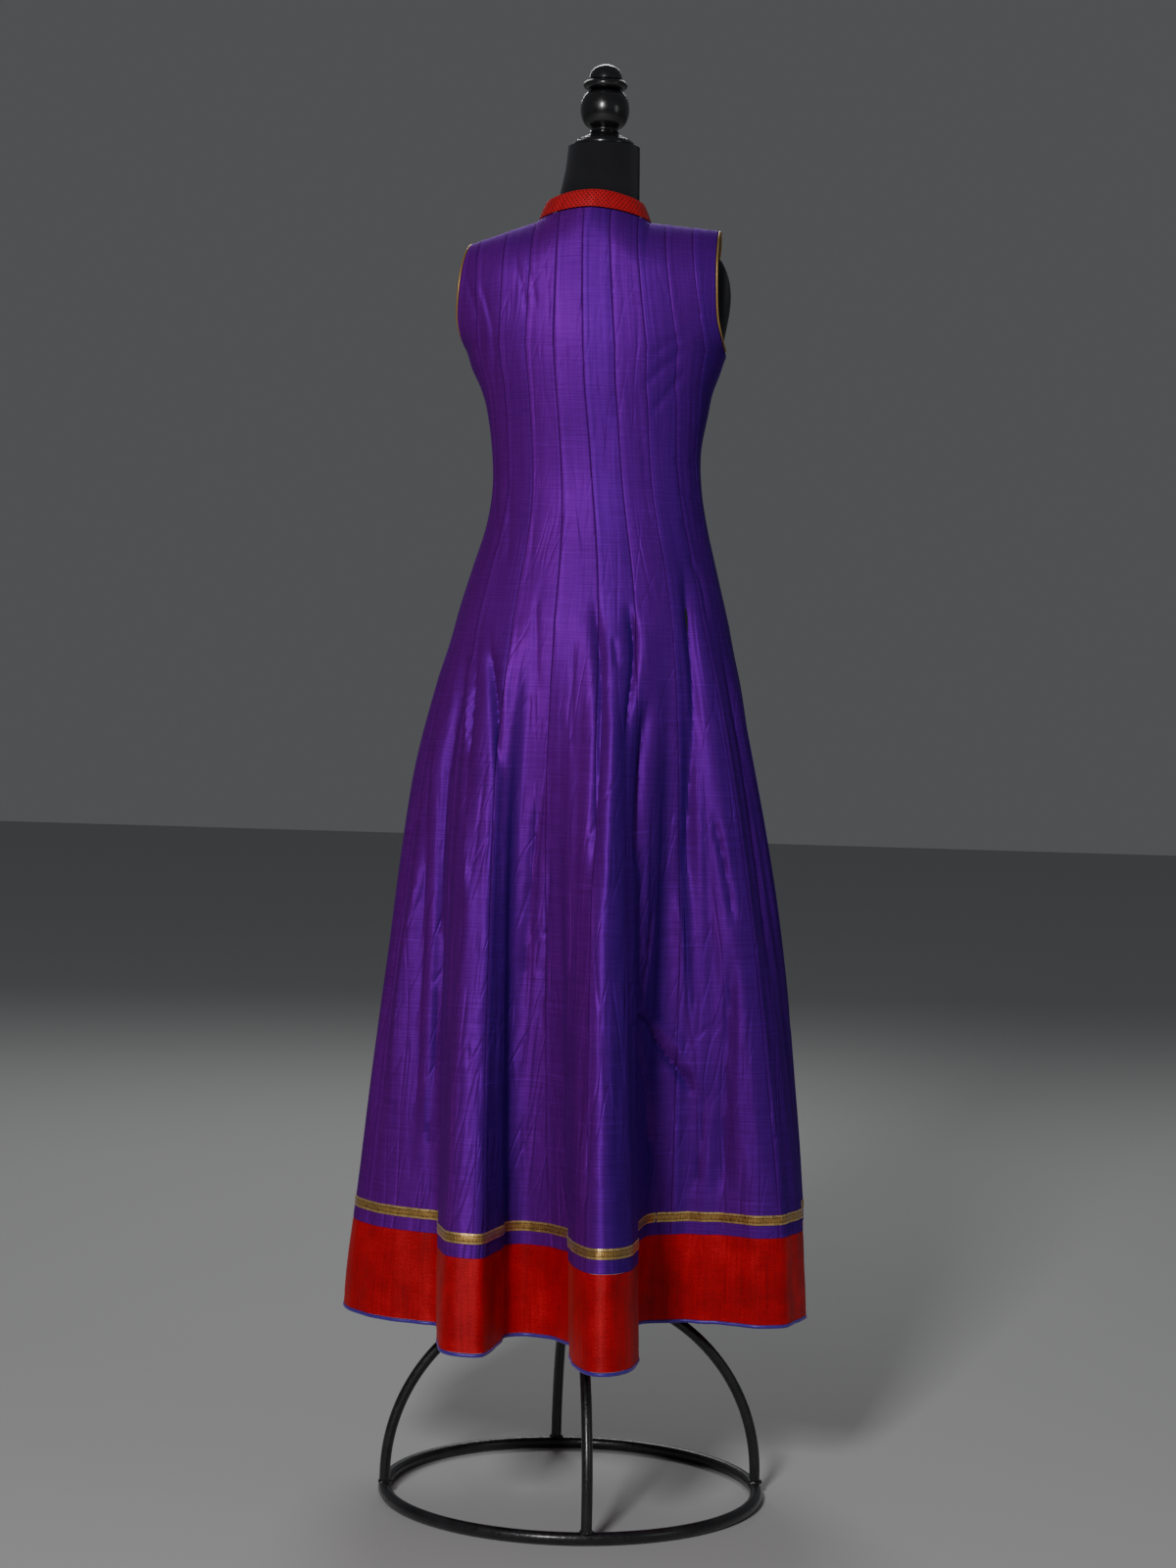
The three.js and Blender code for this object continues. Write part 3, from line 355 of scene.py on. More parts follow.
# ------------------------------------------------------------------ creases
# The main creases. Each is a line through (height, kali), with its height over the cloth (a trough
# is minus) and its half width in millimetres. The back's lines were marked by eye in the photo and
# converted to heights and kalis by a scratch script. The front's were made up to be like them.
CREASES = {
    "back": [
        ([(973, 3.15), (869, 3.21), (749, 3.29), (589, 3.25), (344, 3.26)], -7, 8),
        ([(973, 2.85), (869, 2.66), (753, 2.52), (645, 2.47), (585, 2.49)], -5.2, 3.5),
        ([(949, 2.99), (845, 2.65), (753, 2.44), (637, 2.3)], 4.4, 5),
        ([(865, 3.69), (693, 3.6), (533, 3.54), (344, 3.51)], -6.1, 7),
        ([(661, 3.22), (533, 3.29), (425, 3.35), (348, 3.4)], -2.7, 3.2),
        ([(909, 3.52), (749, 3.62), (585, 3.81), (365, 3.76)], 5.2, 9),
        ([(965, 2.58), (889, 2.11), (805, 1.88)], -7.9, 6),
        ([(805, 1.06), (745, 1.16), (649, 1.22), (541, 1.26)], -5.2, 5),
        ([(745, 0.92), (637, 1.0), (509, 1.07)], -2.7, 3.2),
        ([(1021, 0.12), (937, -0.06), (853, -0.09), (757, 0.0), (677, 0.02)], -7.9, 6),
        ([(913, -0.36), (789, -0.3), (657, -0.21)], 5.2, 10),
        ([(969, -0.4), (949, -0.45), (933, -0.46)], -2, 3.2),
        ([(1009, -0.8), (957, -0.95), (905, -0.83), (841, -0.6)], -7.9, 5),
        ([(917, -1.35), (809, -1.14), (705, -0.96)], -8.8, 9),
        ([(677, -1.46), (621, -1.34), (565, -1.19)], -7, 3.2),
        ([(569, -0.93), (549, -1.56), (497, -2.0), (461, -2.23)], -8.8, 3.5),
        ([(565, -1.61), (521, -2.01), (473, -2.3)], 3, 5),
        ([(549, -1.08), (477, -1.58), (389, -1.79)], -10.5, 7),
        ([(1065, -2.68), (969, -2.53), (853, -2.3), (745, -2.12), (673, -2.14)], -7.9, 8),
        ([(785, -2.56), (713, -2.69), (641, -2.76)], -5.2, 4),
        ([(641, -2.71), (533, -2.58), (402, -2.49), (350, -2.48)], -7, 8),
        ([(981, -3.58), (853, -3.54), (701, -3.43), (541, -3.28)], -5.2, 7),
        ([(705, -1.94), (597, -2.09), (433, -2.26)], 5.2, 9),
        ([(605, 0.05), (501, 0.09), (403, 0.09)], -2.4, 3.2),
        ([(545, -0.41), (452, -0.35), (374, -0.28)], -2, 3.2),
        ([(485, -0.05), (403, 0.0), (366, 0.02)], -2.7, 3.2),
        ([(541, -2.75), (457, -2.75), (374, -2.81)], -2.7, 3.2),
        ([(489, -2.33), (397, -2.25), (353, -2.2)], -4.4, 4),
        ([(1209, -1.98), (1237, -2.75), (1265, -3.47)], -1.9, 4),
        ([(1237, -1.8), (1265, -2.6), (1290, -3.55)], -1.6, 4),
        ([(1273, -2.04), (1290, -2.76), (1304, -3.7)], -1.4, 3.5),
        ([(1375, 4.64), (1310, 3.89), (1241, 4.05)], -1.4, 3.2),
        ([(1359, 3.82), (1289, 3.21), (1225, 3.6)], -1.1, 3.2),
        ([(1363, 4.1), (1298, 3.45), (1237, 3.78)], 0.9, 4),
        ([(1390, 2.6), (1350, 2.22), (1313, 1.92)], -0.9, 3.2),
        ([(1382, 2.12), (1351, 1.84), (1323, 1.59)], -0.8, 3.2),
        ([(1165, -2.78), (1161, -3.49), (1165, -4.08)], -1.4, 3.2),
        ([(1133, -2.89), (1125, -3.45), (1129, -4.18)], -1.4, 3.2),
        ([(1097, -2.75), (1093, -3.31), (1089, -3.86)], -1.4, 3.2),
        ([(1161, 4.01), (1105, 3.49), (1049, 2.7)], -1.4, 3.5),
        ([(1149, 3.05), (1093, 2.74), (1029, 2.35)], -1.4, 4),
        ([(1065, -2.89), (1025, -3.24), (981, -3.2)], -1.9, 4),
        ([(1017, 1.51), (953, 1.35), (893, 1.2)], -1.4, 3.2),
        ([(977, 0.55), (893, 0.52), (809, 0.42)], -1.4, 3.2),
    ],
    "front": [
        ([(1340, 3.9), (1290, 3.3), (1240, 3.5)], -1.4, 3.5),
        ([(1362, 3.2), (1318, 2.9), (1270, 2.7)], 1.1, 4),
        ([(1225, 1.9), (1252, 2.8), (1280, 3.7)], -1.8, 4),
        ([(1256, -1.8), (1278, -2.7), (1296, -3.6)], -1.5, 4),
        ([(1330, -3.4), (1282, -3.0), (1236, -3.3)], -1.2, 3.2),
        ([(1160, 2.7), (1156, 3.4), (1162, 4.1)], -1.4, 3.2),
        ([(1118, 2.8), (1110, 3.5), (1116, 4.2)], -1.2, 3.5),
        ([(1140, -2.7), (1134, -3.3), (1140, -4.0)], -1.4, 3.2),
        ([(1070, -2.5), (1020, -2.7), (960, -2.9)], -1.8, 4),
        ([(1050, 2.4), (990, 2.7), (930, 2.8)], -2, 5),
        ([(1010, 0.6), (940, 0.5), (860, 0.3)], -7, 6),
        ([(990, 1.6), (900, 1.5), (800, 1.4), (720, 1.3)], -7.9, 7),
        ([(960, 2.7), (850, 2.5), (730, 2.4), (610, 2.4)], -7, 6),
        ([(940, 3.5), (780, 3.4), (600, 3.3), (380, 3.4)], -6.1, 8),
        ([(900, 3.1), (760, 3.0), (640, 2.9)], 4.6, 7),
        ([(880, 0.9), (780, 0.9), (660, 0.8)], 5.2, 9),
        ([(860, -0.2), (740, -0.3), (600, -0.2), (450, -0.2)], -6.1, 6),
        ([(1000, -1.0), (900, -1.0), (790, -0.9)], -7, 5),
        ([(930, -1.7), (800, -1.6), (670, -1.7)], 5.2, 9),
        ([(970, -2.4), (860, -2.5), (740, -2.8), (620, -2.9)], -7.9, 7),
        ([(880, -3.6), (720, -3.5), (540, -3.6), (370, -3.5)], -5.2, 7),
        ([(700, -3.2), (560, -3.1), (420, -3.1)], 3.2, 8),
        ([(660, 1.9), (560, 2.0), (470, 2.1)], -5.2, 4),
        ([(610, 0.2), (570, 0.8), (515, 1.2), (470, 1.4)], -7.9, 3.5),
        ([(596, 0.6), (545, 1.1), (490, 1.5)], 2.7, 5),
        ([(580, 3.0), (470, 3.1), (370, 3.0)], -3.2, 3.2),
        ([(560, -2.2), (460, -2.3), (360, -2.2)], -4.6, 3.5),
        ([(520, -1.2), (440, -1.2), (365, -1.1)], -2.7, 3.2),
        ([(470, 1.2), (410, 1.2), (352, 1.3)], -2.4, 3.2),
        ([(450, -3.9), (400, -3.8), (350, -3.9)], -2.7, 3.2),
    ],
}
CREASE_STEPS = 24
CREASE_REACH = 3                   # half widths
CREASE_SHARP = 0.75                # 1 is round at the bottom, less is sharper


def ring_angle(half, kali):
    """Round the whole kurti: 0 at the left side seam, half a turn at the right one."""
    turn = (QUARTER - kali) / KALIS * math.pi
    return turn if half == "back" else -turn


LOOSE_FROM, LOOSE_FULL, LOOSE_MOST = 1010, 640, 300      # heights down which the cloth comes loose
WAVES = 26
WAVE_COUNTS = (14, 96)             # waves round the skirt
_draw = np.random.default_rng(7)
WAVE = [(int(n), *_draw.uniform(0, 2 * math.pi, 3), _draw.uniform(0.0015, 0.006),
         _draw.uniform(0.6, 1.1)) for n in _draw.uniform(*WAVE_COUNTS, WAVES)]


def undulation(half, kali, z):
    """The cloth's own soft unevenness: shallow on the body, more on the skirt."""
    angle = ring_angle(half, kali)
    total = 0
    for count, phase, swing, beat, rate, size in WAVE:
        drift = 0.5 * np.sin(z * rate * 1.7 + swing)
        total = total + size * (14 / count) ** 1.2 * np.sin(count * angle + phase + drift) \
            * (0.55 + 0.45 * np.sin(z * rate + beat))
    loose = 0.1 + 2.1 * smooth(LOOSE_FROM, LOOSE_FULL, z) + 0.6 * smooth(LOOSE_FULL, LOOSE_MOST, z)
    return total * loose


def crease_path(line):
    """A smooth line through a crease's points."""
    table = np.column_stack([np.linspace(0, 1, len(line)), line])
    at = np.linspace(0, 1, CREASE_STEPS + 1)
    return along(table, 1, at), along(table, 2, at)


def crease_relief(half, kali, z, width):
    """The height that the main creases give at each point of the cloth."""
    total = np.zeros(z.shape)
    for line, height, wide in CREASES[half]:
        path_z, path_kali = crease_path(line)
        reach = CREASE_REACH * wide
        rows = span(np.any((z > path_z.min() - reach) & (z < path_z.max() + reach), axis=1))
        beside = reach / width[rows].min()
        columns = span((kali[0] > path_kali.min() - beside) & (kali[0] < path_kali.max() + beside))
        near = (rows, columns)
        wide_kali = width[near][..., None]
        off_x = (kali[:, columns, None] - path_kali[:-1]) * wide_kali
        off_z = z[near][..., None] - path_z[:-1]
        way_x, way_z = np.diff(path_kali) * wide_kali, np.diff(path_z)
        share = np.clip((off_x * way_x + off_z * way_z) / (way_x ** 2 + way_z ** 2), 0, 1)
        apart = (off_x - share * way_x) ** 2 + (off_z - share * way_z) ** 2
        nearest = apart.argmin(-1)[..., None]
        best = np.take_along_axis(apart, nearest, -1)[..., 0]
        at = (nearest + np.take_along_axis(share, nearest, -1))[..., 0] / CREASE_STEPS
        ends = smooth(0, 0.22, at) * smooth(1, 0.7, at)
        total[near] += height * ends * np.exp(-(best / wide ** 2) ** CREASE_SHARP)
    return total


def span(flags):
    """The slice from the first to the last true flag."""
    found = np.flatnonzero(flags)
    return slice(found[0], found[-1] + 1) if len(found) else slice(0, 0)


FINE_CREASES = 330
FINE_REACH = 0.2                   # of a turn round the kurti, in radians
_draw_fine = np.random.default_rng(21)
FINE_CREASE = [
    (_draw_fine.uniform(-math.pi, math.pi), _draw_fine.uniform(230, 1400),
     _draw_fine.uniform(15, 110), _draw_fine.uniform(1.4, 4.5),
     _draw_fine.uniform(-0.6, 0.35), _draw_fine.normal(0, 0.0007))
    for _ in range(FINE_CREASES)
]


def fine_creases(half, kali, z, width):
    """Many slight creases that run down the cloth, stronger on the loose skirt."""
    angle = ring_angle(half, kali)[0]
    total = np.zeros(z.shape)
    for place, height, length, wide, size, lean in FINE_CREASE:
        rows = span(np.any(np.abs(z - height) < length, axis=1))
        gap = (angle - place + math.pi) % (2 * math.pi) - math.pi
        columns = span(np.abs(gap) < FINE_REACH)
        near = (rows, columns)
        if not total[near].size:
            continue
        up = z[near] - height
        ends = np.clip(1 - (up / length) ** 2, 0, 1) ** 1.5
        off = (gap[None, columns] - lean * up) * width[near] * KALIS / math.pi
        total[near] += size * ends * np.exp(-(off / wide) ** 2)
    return total * (0.55 + 0.75 * smooth(LOOSE_FROM, 700, z))


PUCKER_HIGH = 0.32
PUCKER_START, PUCKER_FADE = (101, 104), (185, 128)      # heights over the hem


def hem_puckers(half, kali, z):
    """Short upright gathers where the ribbon and the band are sewn on."""
    angle = ring_angle(half, kali)
    up = z - along(HEM_HEIGHT, 1, kali)
    reach = smooth(*PUCKER_START, up) * smooth(*PUCKER_FADE, up)
    waves = np.sin(211 * angle + 2 * np.sin(17 * angle)) + 0.8 * np.sin(317 * angle + 1.3)
    patchy = 0.4 + 0.6 * np.sin(9 * angle + 1) ** 2
    return PUCKER_HIGH * reach * patchy * waves


# The seams: a stitched groove, with the seam allowance pressed to one side as a slight ridge.
ALLOWANCE = (0.4, 1.3, 5.4, 6.8)   # where the ridge starts, is full, starts to end and ends
ALLOWANCE_HIGH = 0.24
GROOVE_DEEP = 0.24
GROOVE_WIDE = 0.7
GROOVE_SHADE = 1.0                 # half width of the painted shade along each seam groove


def allowance(u, width):
    start, full, fall, end = ALLOWANCE
    short = np.minimum(1, width / 20)
    return smooth(start, full, u) * smooth(end * short, fall * short, u)


def beside_seams(u, width, wide):
    """1 on either seam of a kali, falling off within wide."""
    return np.exp(-(u / wide) ** 2) + np.exp(-((width - u) / wide) ** 2)


def seam_relief(u, width):
    groove = beside_seams(u, width, GROOVE_WIDE)
    return ALLOWANCE_HIGH * allowance(u, width) - GROOVE_DEEP * groove


def cloth_relief(half, kali, z, width):
    return (undulation(half, kali, z) + crease_relief(half, kali, z, width)
            + fine_creases(half, kali, z, width) + hem_puckers(half, kali, z))


def make_surface():
    points = {half: half_points(half) for half in TOWARD}
    made = {}
    for half, other in (("back", "front"), ("front", "back")):
        p = points[half]
        u, width = from_seam(p)
        relief = cloth_relief(half, FINE_AT[None, :], p[..., 2], width)
        made[half] = {"points": p, "normals": half_normals(p, points[other], half),
                      "relief": relief, "u": u, "width": width}
    return made


SURFACE = make_surface()


# ------------------------------------------------------------------ meshes
def grid_quads(rows, columns, wrapped, first=0):
    """Corners of a grid's quads as point numbers, and as (row, column) for the unwrapped cloth."""
    r = np.arange(rows - 1)[:, None]
    c = np.arange(columns if wrapped else columns - 1)[None, :]
    corner = [(r, c), (r, c + 1), (r + 1, c + 1), (r + 1, c)]
    numbers = [first + a * columns + b % columns for a, b in corner]
    quads = np.stack(np.broadcast_arrays(*numbers), -1).reshape(-1, 4)
    places = [np.stack(np.broadcast_arrays(a, b), -1) for a, b in corner]
    return quads, np.stack(places, 2).reshape(-1, 4, 2)


def volume(points, quads):
    a, b, c, d = (points[quads[:, k]] for k in range(4))
    both = np.einsum("ij,ij->i", a, np.cross(b, c)) + np.einsum("ij,ij->i", a, np.cross(c, d))
    return both.sum() / 6


def shown(name, mesh, material):
    obj = bpy.data.objects.new(name, mesh)
    bpy.context.scene.collection.objects.link(obj)
    obj.data.materials.append(material)
    return obj


def make_mesh(name, points, quads, uv, material, attributes=(), sharp=35):
    """An object from points in millimetres and quads, whose faces are turned to point out."""
    quads = np.asarray(quads)
    if volume(points, quads) < 0:
        quads, uv = quads[:, ::-1], uv[:, ::-1]
    mesh = bpy.data.meshes.new(name)
    mesh.vertices.add(len(points))
    mesh.vertices.foreach_set("co", ((points * MM) + AXIS).astype(np.float32).ravel())
    mesh.loops.add(quads.size)
    mesh.loops.foreach_set("vertex_index", quads.ravel().astype(np.int32))
    mesh.polygons.add(len(quads))
    mesh.polygons.foreach_set("loop_start", np.arange(0, quads.size, 4, dtype=np.int32))
    mesh.update(calc_edges=True)
    layer = mesh.uv_layers.new(name="weave")
    layer.data.foreach_set("uv", uv.reshape(-1).astype(np.float32))
    for key, values in attributes:
        attribute = mesh.attributes.new(key, "FLOAT", "POINT")
        attribute.data.foreach_set("value", np.asarray(values, np.float32).ravel())
    mesh.polygons.foreach_set("use_smooth", np.ones(len(quads), bool))
    mesh.set_sharp_from_angle(angle=math.radians(sharp))
    mesh.validate()
    return shown(name, mesh, material)


def shell(name, outer, inner, across, up, material, wrapped=False, attributes=()):
    """A closed wall between an outer and an inner grid. across and up are its cloth's own
    measures in millimetres, at every point, with one more column on a wrapped one."""
    rows, columns = outer.shape[:2]
    points = np.concatenate([outer.reshape(-1, 3), inner.reshape(-1, 3)])
    out, places = grid_quads(rows, columns, wrapped)
    back = out[:, ::-1] + rows * columns
    quads, where = [out, back], [places, places[:, ::-1]]
    c = np.arange(columns if wrapped else columns - 1)
    for r in (0, rows - 1):
        a, b = r * columns + c, r * columns + (c + 1) % columns
        rim = np.stack([b, a, a + rows * columns, b + rows * columns], -1)
        place = np.stack([np.stack([np.full_like(c, r), k], -1) for k in (c + 1, c, c, c + 1)], 1)
        quads.append(rim if r == 0 else rim[:, ::-1])
        where.append(place if r == 0 else place[:, ::-1])
    r = np.arange(rows - 1)
    for c in () if wrapped else (0, columns - 1):
        a, b = r * columns + c, (r + 1) * columns + c
        rim = np.stack([a, b, b + rows * columns, a + rows * columns], -1)
        place = np.stack([np.stack([k, np.full_like(r, c)], -1) for k in (r, r + 1, r + 1, r)], 1)
        quads.append(rim if c == 0 else rim[:, ::-1])
        where.append(place if c == 0 else place[:, ::-1])
    quads, where = np.concatenate(quads), np.concatenate(where)
    uv = np.stack([across[where[..., 0], where[..., 1]], up[where[..., 0], where[..., 1]]], -1) * MM
    both = [(key, np.concatenate([values.ravel(), values.ravel()])) for key, values in attributes]
    return make_mesh(name, points, quads, uv, material, both)


def loft(name, rings, material, looped=False, sharp=35):
    """A closed solid through rings of points, capped at its ends unless it is looped."""
    count, sides = rings.shape[:2]
    whole = np.concatenate([rings, rings[:1]]) if looped else rings
    points = rings.reshape(-1, 3)
    quads, places = grid_quads(len(whole), sides, True)
    quads = quads % (count * sides)
    run = run_along(whole.mean(1))
    girth = np.linalg.norm(rings[count // 2] - np.roll(rings[count // 2], 1, axis=0), axis=1).sum()
    uv = np.stack([places[..., 1] * girth / sides, run[places[..., 0]]], -1) * MM
    if not looped:
        ends = np.stack([rings[0].mean(0), rings[-1].mean(0)])
        points = np.concatenate([points, ends])
        s = np.arange(sides)
        nxt = (s + 1) % sides
        hub = count * sides
        cap0 = np.stack([nxt, s, np.full_like(s, hub)], -1)
        last = (count - 1) * sides
        cap1 = np.stack([last + s, last + nxt, np.full_like(s, hub + 1)], -1)
        return make_capped(name, points, quads, uv, [cap0, cap1], material, sharp)
    return make_mesh(name, points, quads, uv, material, (), sharp)


def make_capped(name, points, quads, uv, caps, material, sharp):
    """A mesh of quads with triangle fans at its two ends."""
    triangles = np.concatenate(caps)
    middle = points.mean(0)
    size = volume(points - middle, quads)
    for a, b, c in triangles:
        size += np.dot(points[a] - middle, np.cross(points[b] - middle, points[c] - middle)) / 6
    if size < 0:
        quads, uv, triangles = quads[:, ::-1], uv[:, ::-1], triangles[:, ::-1]
    mesh = bpy.data.meshes.new(name)
    places = (points * MM + AXIS).tolist()
    mesh.from_pydata(places, [], quads.tolist() + triangles.tolist())
    layer = mesh.uv_layers.new(name="weave")
    flat = np.concatenate([uv.reshape(-1, 2), np.zeros((triangles.size, 2))])
    layer.data.foreach_set("uv", flat.ravel().astype(np.float32))
    mesh.polygons.foreach_set("use_smooth", np.ones(len(mesh.polygons), bool))
    mesh.set_sharp_from_angle(angle=math.radians(sharp))
    mesh.update()
    return shown(name, mesh, material)


def placed(obj, slot, *nodes):
    """Rides on the one body and stands for CAD nodes, which it hides; its slot is not used."""
    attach(obj, "root")
    if nodes:
        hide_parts(*nodes)
    return obj


# ------------------------------------------------------------------ finishes
def put(tree, kind, inputs=None, **settings):
    """A node with its settings, whose inputs are set to values or joined to other outputs."""
    node = tree.nodes.new(kind)
    for key, value in settings.items():
        setattr(node, key, value)
    for key, value in (inputs or {}).items():
        if isinstance(value, bpy.types.NodeSocket):
            tree.links.new(value, node.inputs[key])
        else:
            node.inputs[key].default_value = value
    return node


def finish(name, color, roughness, **sockets):
    """A new material, its tree and its shader with constant sockets set."""
    material = bpy.data.materials.new(name)
    material.use_nodes = True
    material.diffuse_color = (*color, 1)
    tree = material.node_tree
    shader = tree.nodes["Principled BSDF"]
    shader.inputs["Base Color"].default_value = (*color, 1)
    shader.inputs["Roughness"].default_value = roughness
    for key, value in sockets.items():
        shader.inputs[key.replace("_", " ")].default_value = value
    return material, tree, shader


def streaks(tree, place, across, up, detail=2.0, offset=0.0):
    """Noise stretched by a scale across and a scale up the cloth, in cycles to a metre."""
    moved = put(tree, "ShaderNodeMapping", {"Vector": place, "Scale": (across, up, 1),
                                            "Location": (offset, offset, 0)})
    return put(tree, "ShaderNodeTexNoise", {"Vector": moved.outputs[0], "Scale": 1.0,
                                            "Detail": detail, "Roughness": 0.6}).outputs["Fac"]


def maths(tree, operation, *values):
    return put(tree, "ShaderNodeMath", dict(enumerate(values)), operation=operation).outputs[0]


def sums(tree, first, *terms):
    """first plus each term times its factor."""
    total = first
    for value, factor in terms:
        total = maths(tree, "MULTIPLY_ADD", value, factor, total)
    return total


def noise(tree, place, scale, detail):
    return put(tree, "ShaderNodeTexNoise", {"Vector": place, "Scale": scale,
                                            "Detail": detail}).outputs["Fac"]


def weave_place(tree):
    """The cloth's own measures, across and up."""
    return put(tree, "ShaderNodeUVMap", uv_map="weave").outputs[0]


def body_place(tree):
    return put(tree, "ShaderNodeTexCoord").outputs["Object"]


def point_value(tree, name):
    """What make_mesh gave each point under a name."""
    return put(tree, "ShaderNodeAttribute", attribute_name=name).outputs["Fac"]


def colored(tree, shader, color):
    tree.links.new(color, shader.inputs["Base Color"])


def mixed(tree, share, first, second, kind="MIX"):
    node = put(tree, "ShaderNodeMixRGB", {"Fac": share, "Color1": first, "Color2": second},
               blend_type=kind)
    return node.outputs[0]


def shaded(tree, shader, color, light):
    colored(tree, shader, mixed(tree, 1.0, color, light, "MULTIPLY"))


def remap(tree, value, low, high, start=0.0, end=1.0):
    node = put(tree, "ShaderNodeMapRange", {"Value": value, "From Min": low, "From Max": high,
                                            "To Min": start, "To Max": end})
    return node.outputs[0]


def spread(tree, value):
    """A noise about its middle level, from -1 to 1."""
    return remap(tree, value, 0.3, 0.7, -1, 1)


def bumped(tree, shader, height, strength, distance):
    node = put(tree, "ShaderNodeBump", {"Height": height, "Strength": strength,
                                        "Distance": distance})
    tree.links.new(node.outputs[0], shader.inputs["Normal"])


def crinkles(tree, place, across, up, turn, fine, offset):
    """Thin wandering crease lines, 1 on a line and 0 between, a noise's middle level drawn out."""
    turned = put(tree, "ShaderNodeMapping", {"Vector": place, "Rotation": (0, 0, turn)}).outputs[0]
    level = streaks(tree, turned, across, up, 1.0, offset)
    off = maths(tree, "ABSOLUTE", maths(tree, "SUBTRACT", level, 0.5))
    return put(tree, "ShaderNodeMapRange", {"Value": off, "From Min": 0.0, "From Max": fine,
                                            "To Min": 1.0, "To Max": 0.0},
               interpolation_type="SMOOTHSTEP").outputs[0]


def silk_finish():
    """Shot silk: magenta and blue threads in purple, with slubs across and faint lines down. Its
    shimmer is painted sheen in the colour, by facing and by kali, and the seam grooves get painted
    shade.
    """
    material, tree, shader = finish(
        "silk", (0.085, 0.018, 0.26), 0.53, Metallic=0.42, Specular_IOR_Level=0.06,
        Sheen_Weight=0.04, Sheen_Roughness=0.4, Sheen_Tint=(0.45, 0.1, 0.95, 1),
        Specular_Tint=(0.45, 0.2, 0.8, 1),
        Anisotropic=0.35, Anisotropic_Rotation=0.25)
    tangent = put(tree, "ShaderNodeTangent", direction_type="UV_MAP", uv_map="weave")
    tree.links.new(tangent.outputs[0], shader.inputs["Tangent"])
    place = weave_place(tree)
    weft = streaks(tree, place, 16, 620, 3)
    slubs = streaks(tree, place, 9, 230, 2, 5)
    warp = streaks(tree, place, 480, 7, 2, 9)
    cloud = streaks(tree, place, 14, 9, 3, 17)
    # Painted sheen: the colour turns more magenta on faces turned to the left (+X) and bluer on faces
    # turned right, fixed to the facing. Each kali's painted sheen cast and a random cloud of tone move
    # it too.
    normal = put(tree, "ShaderNodeNewGeometry").outputs["Normal"]
    side = put(tree, "ShaderNodeSeparateXYZ", {0: normal}).outputs["X"]
    sheen_cast = point_value(tree, "sheen_cast")
    turn = sums(tree, side, (sheen_cast, 0.6), (cloud, 0.5))
    color = mixed(tree, remap(tree, turn, -0.75, 1.1), (0.07, 0.004, 0.27, 1),
                  (0.15, 0.004, 0.27, 1))
    light = remap(tree, weft, 0.25, 0.75, 0.82, 1.18)
    light = sums(tree, light, (remap(tree, slubs, 0.6, 0.8), 0.35),
                 (spread(tree, warp), 0.1), (spread(tree, cloud), 0.08))
    strip = point_value(tree, "strip")
    # Painted shade along the seam grooves: the colour darkens over each groove, on top of its relief.
    groove = point_value(tree, "groove")
    light = sums(tree, light, (strip, 0.16), (groove, -0.26))
    shaded(tree, shader, color, light)
    patchy = remap(tree, cloud, 0.4, 0.62)
    lines = sums(tree, streaks(tree, place, 34, 3, 1.0, 57),
                 (crinkles(tree, place, 30, 2.6, 0.0, 0.045, 21), -0.45),
                 (crinkles(tree, place, 40, 6, 0.18, 0.04, 33), -0.35))
    loose = point_value(tree, "loose")
    lines = maths(tree, "MULTIPLY", lines, maths(tree, "MULTIPLY", loose, patchy))
    height = sums(tree, weft, (slubs, 0.8), (warp, 0.35), (lines, 8.0))
    bumped(tree, shader, height, 0.4, 0.0008)
    return material


def band_finish():
    """Raw silk with upright slubs and a grainy face."""
    material, tree, shader = finish(
        "band_silk", (0.5, 0.006, 0.012), 0.6, Metallic=0.15, Specular_IOR_Level=0.2,
        Sheen_Weight=0.1, Sheen_Roughness=0.5, Sheen_Tint=(1.0, 0.2, 0.15, 1))
    place = weave_place(tree)
    slubs = streaks(tree, place, 330, 14, 3)
    grain = streaks(tree, place, 560, 560, 3, 3)
    rows = streaks(tree, place, 40, 700, 2, 11)
    cloud = streaks(tree, place, 25, 18, 3, 7)
    light = remap(tree, slubs, 0.28, 0.72, 0.82, 1.16)
    light = sums(tree, light, (spread(tree, grain), 0.24),
                 (spread(tree, rows), 0.1), (spread(tree, cloud), 0.12))
    color = mixed(tree, remap(tree, cloud, 0.3, 0.7), (0.42, 0.002, 0.009, 1),
                  (0.56, 0.004, 0.012, 1))
    shaded(tree, shader, color, light)
    height = sums(tree, slubs, (grain, 0.9), (rows, 0.4),
                  (streaks(tree, place, 34, 4, 1.5, 71), 4.0))
    bumped(tree, shader, height, 0.45, 0.0009)
    return material


DIAMOND = 5.2 * MM                 # pitch of the collar's diamonds


